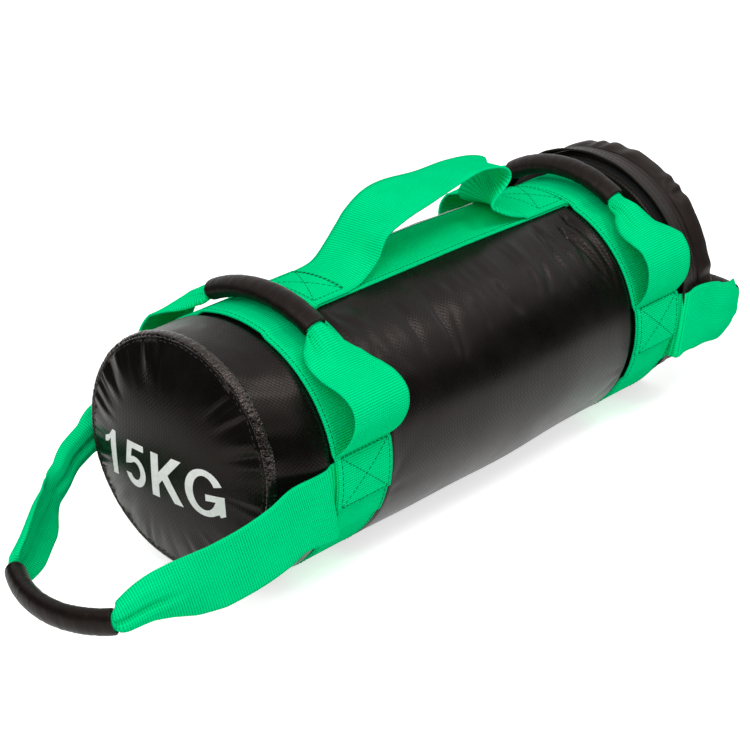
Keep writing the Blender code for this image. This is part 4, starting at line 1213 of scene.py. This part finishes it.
def bowl(centre, size, first, last, steps=18):
    """Points along an oval bowl of a letter, between two angles in degrees."""
    return [(centre[0] + size[0] * cos(radians(a)),
             centre[1] + size[1] * sin(radians(a))) for a in spread(first, last, steps)]


def letter_outlines():
    """Outline of each character in a box one wide and one high, and where its sides stand."""
    one = [(0.52, 0.0), (1.0, 0.03), (1.0, 1.02), (0.72, 1.02), (0.42, 0.86), (0.0, 0.77),
           (0.0, 0.64), (0.30, 0.69), (0.52, 0.79)]
    five = [(0.94, 0.99), (0.16, 0.99), (0.04, 0.44)]
    five += bowl((0.50, 0.35), (0.25, 0.20), 130, -150)
    five += bowl((0.50, 0.335), (0.50, 0.345), -165, 110) + [(0.38, 0.85), (0.94, 0.85)]
    kay = [(0.0, 0.0), (0.24, 0.0), (0.24, 0.30), (0.36, 0.43), (0.72, 0.0), (1.0, 0.0),
           (0.54, 0.58), (0.98, 1.0), (0.68, 1.0), (0.24, 0.57), (0.24, 0.97), (0.0, 0.97)]
    gee = bowl((0.5, 0.5), (0.5, 0.52), 28, 305, 30)
    gee += [(0.85, 0.10), (0.87, 0.04), (1.0, 0.10), (1.0, 0.53), (0.53, 0.49), (0.53, 0.34),
            (0.78, 0.37)]
    gee += bowl((0.5, 0.5), (0.29, 0.38), -38, -330, 30)
    return ((one, 0.0597, 0.0465), (five, 0.0368, 0.0166), (kay, 0.0108, -0.0170),
            (gee, -0.0193, -0.0505))


def build_mark():
    """Plain bold characters, laid over the crown of the disc."""
    base, height = 0.0665, 0.0318
    bm = bmesh.new()
    for outline, left, right in letter_outlines():
        corners = [bm.verts.new((mix(left, right, x), base + height * z, 0)) for x, z in outline]
        bm.faces.new(corners)
    bmesh.ops.triangulate(bm, faces=bm.faces, ngon_method="EAR_CLIP")
    low, high = Vector((-0.055, base, 0)), Vector((0.062, base + height, 0))
    for way, count in ((Vector((1, 0, 0)), 58), (Vector((0, 1, 0)), 16)):
        for k in range(1, count):
            bmesh.ops.bisect_plane(bm, geom=bm.verts[:] + bm.edges[:] + bm.faces[:], dist=0.000001,
                                   plane_co=low.lerp(high, k / count), plane_no=way)
    for vert in bm.verts:
        y, up = vert.co.x, vert.co.y - near_seam_height
        vert.co = disc_point(hypot(y, up) / (near_seam_radius - disc_seat), atan2(y, up))
        vert.co.x -= 0.0002
    bm.normal_update()
    turned = [face for face in bm.faces if face.normal.x > 0]
    bmesh.ops.reverse_faces(bm, faces=turned)
    add_piece("weight_mark_print", bm, print_ink)


# Kept pieces inside the bag and round the zip

def finish_hidden():
    finishes = (
        (foam_mat, ("foam_jacket",)), (nylon_mat, ("inner_sand_bag",)),
        (cord_mat, ("inner_bag_tie",)), (sand_mat, ("sand_fill",)),
        (tape_mat, ("zip_tape_body_side", "zip_tape_lid_side", "lid_fold_strip")),
        (coil_mat, ("zip_coil_body_side", "zip_coil_lid_side", "zip_stop_left", "zip_stop_right")),
        (nickel, ("zip_slider", "zip_pull_tab")),
    )
    for mat, nodes in finishes:
        for node in nodes:
            for material_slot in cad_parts[node].material_slots:
                material_slot.material = mat


# Stage, light and camera

def seen_light(owner):
    """1 for what the camera sees directly, in a gloss or through glass, and 0 for the rest."""
    path = add_node(owner, "ShaderNodeLightPath")
    seen = path.outputs["Is Camera Ray"]
    for ray in ("Is Glossy Ray", "Is Transmission Ray"):
        seen = add_node(owner, "ShaderNodeMath", {"operation": "MAXIMUM"},
                        {0: seen, 1: path.outputs[ray]}).outputs["Value"]
    return seen


def build_floor():
    mat, shader = new_material("white_paper_floor")
    set_up(mat, shader, Base_Color=srgb("F2F2F2"), Roughness=0.9)
    glow = add_node(mat, "ShaderNodeEmission", {}, {"Strength": seen_light(mat)},
                    Color=(0.65, 0.65, 0.65, 1.0))
    both = add_node(mat, "ShaderNodeAddShader", {}, {0: shader.outputs["BSDF"],
                                                     1: glow.outputs["Emission"]})
    set_up(mat, mat.node_tree.nodes["Material Output"], {"Surface": both.outputs["Shader"]})
    bm = bmesh.new()
    bmesh.ops.create_grid(bm, x_segments=2, y_segments=2, size=12)
    mesh_object("studio_floor", bm, mat)


def build_flag():
    """Low black curtain round the camera's side. It is seen only in the gloss of the bag, as
    the dark band along its side."""
    bm = bmesh.new()
    start = Matrix.Rotation(radians(105), 3, "Z") @ Vector((0.65, 0, 0))
    foot = bm.verts.new(start)
    head = bm.verts.new(start + Vector((0, 0, 0.36)))
    edge = bm.edges.new((foot, head))
    bmesh.ops.spin(bm, geom=[foot, head, edge], cent=(0, 0, 0), axis=(0, 0, 1),
                   angle=radians(240), steps=60)
    mat, shader = new_material("black_velvet")
    set_up(mat, shader, Base_Color=srgb("050505"), Roughness=1.0, Specular_IOR_Level=0.0)
    flag = mesh_object("studio_flag", bm, mat)
    flag.visible_camera = flag.visible_diffuse = flag.visible_shadow = False


def build_world():
    world = bpy.data.worlds.new("studio_white")
    bpy.context.scene.world = world
    world.use_nodes = True
    level = add_node(world, "ShaderNodeMapRange", {}, {"Value": seen_light(world)},
                     To_Min=0.60, To_Max=1.0)
    set_up(world, world.node_tree.nodes["Background"], {"Strength": level.outputs["Result"]},
           Color=(1.0, 1.0, 1.0, 1.0))


def add_lamp(name, place, target, size, power):
    lamp = bpy.data.lights.new(name, "AREA")
    lamp.shape = "RECTANGLE"
    lamp.size, lamp.size_y = size
    lamp.energy = power
    obj = new_object(name, lamp)
    obj.location = place
    obj.rotation_euler = (Vector(target) - Vector(place)).to_track_quat("-Z", "Y").to_euler()


def build_camera():
    azimuth, elevation, roll = radians(-48.779), radians(24.271), radians(0.292)
    back = Vector((sin(azimuth) * cos(elevation),
                   -cos(azimuth) * cos(elevation), sin(elevation)))
    camera = bpy.data.cameras.new("photo_camera")
    focal_pixels, picture_width = 2335.0, 750
    camera.sensor_width = 36.0
    camera.lens = camera.sensor_width * focal_pixels / picture_width
    obj = new_object("photo_camera", camera)
    obj.location = (-1.15485, -0.97009, 0.74917)
    turn = back.to_track_quat("Z", "Y").to_matrix().to_4x4() @ Matrix.Rotation(roll, 4, "Z")
    obj.rotation_euler = turn.to_euler()
    camera.clip_end = 50
    bpy.context.scene.camera = obj


build_skin()
build_near_disc()
build_welt()
build_bands()
build_strap()
build_top_handle()
build_grips()
build_end_handles()
build_lid()
build_mark()
finish_hidden()
build_floor()
build_flag()
build_world()
# The power of each lamp is its brightness times pi times its area in square metres
add_lamp("key_softbox", (0.73, -0.81, 1.40), (0, 0, 0.1), (0.32, 0.32), 14 * pi * 0.1)
add_lamp("top_softbox", (-0.23, -0.63, 1.55), (0, 0, 0.1), (0.35, 0.35), 8 * pi * 0.12)
add_lamp("front_softbox", (-1.75, -0.60, 1.75), (0, 0, 0.1), (1.5, 1.5), 3.3 * pi * 2.25)
build_camera()
bpy.context.scene.view_settings.view_transform = "Standard"
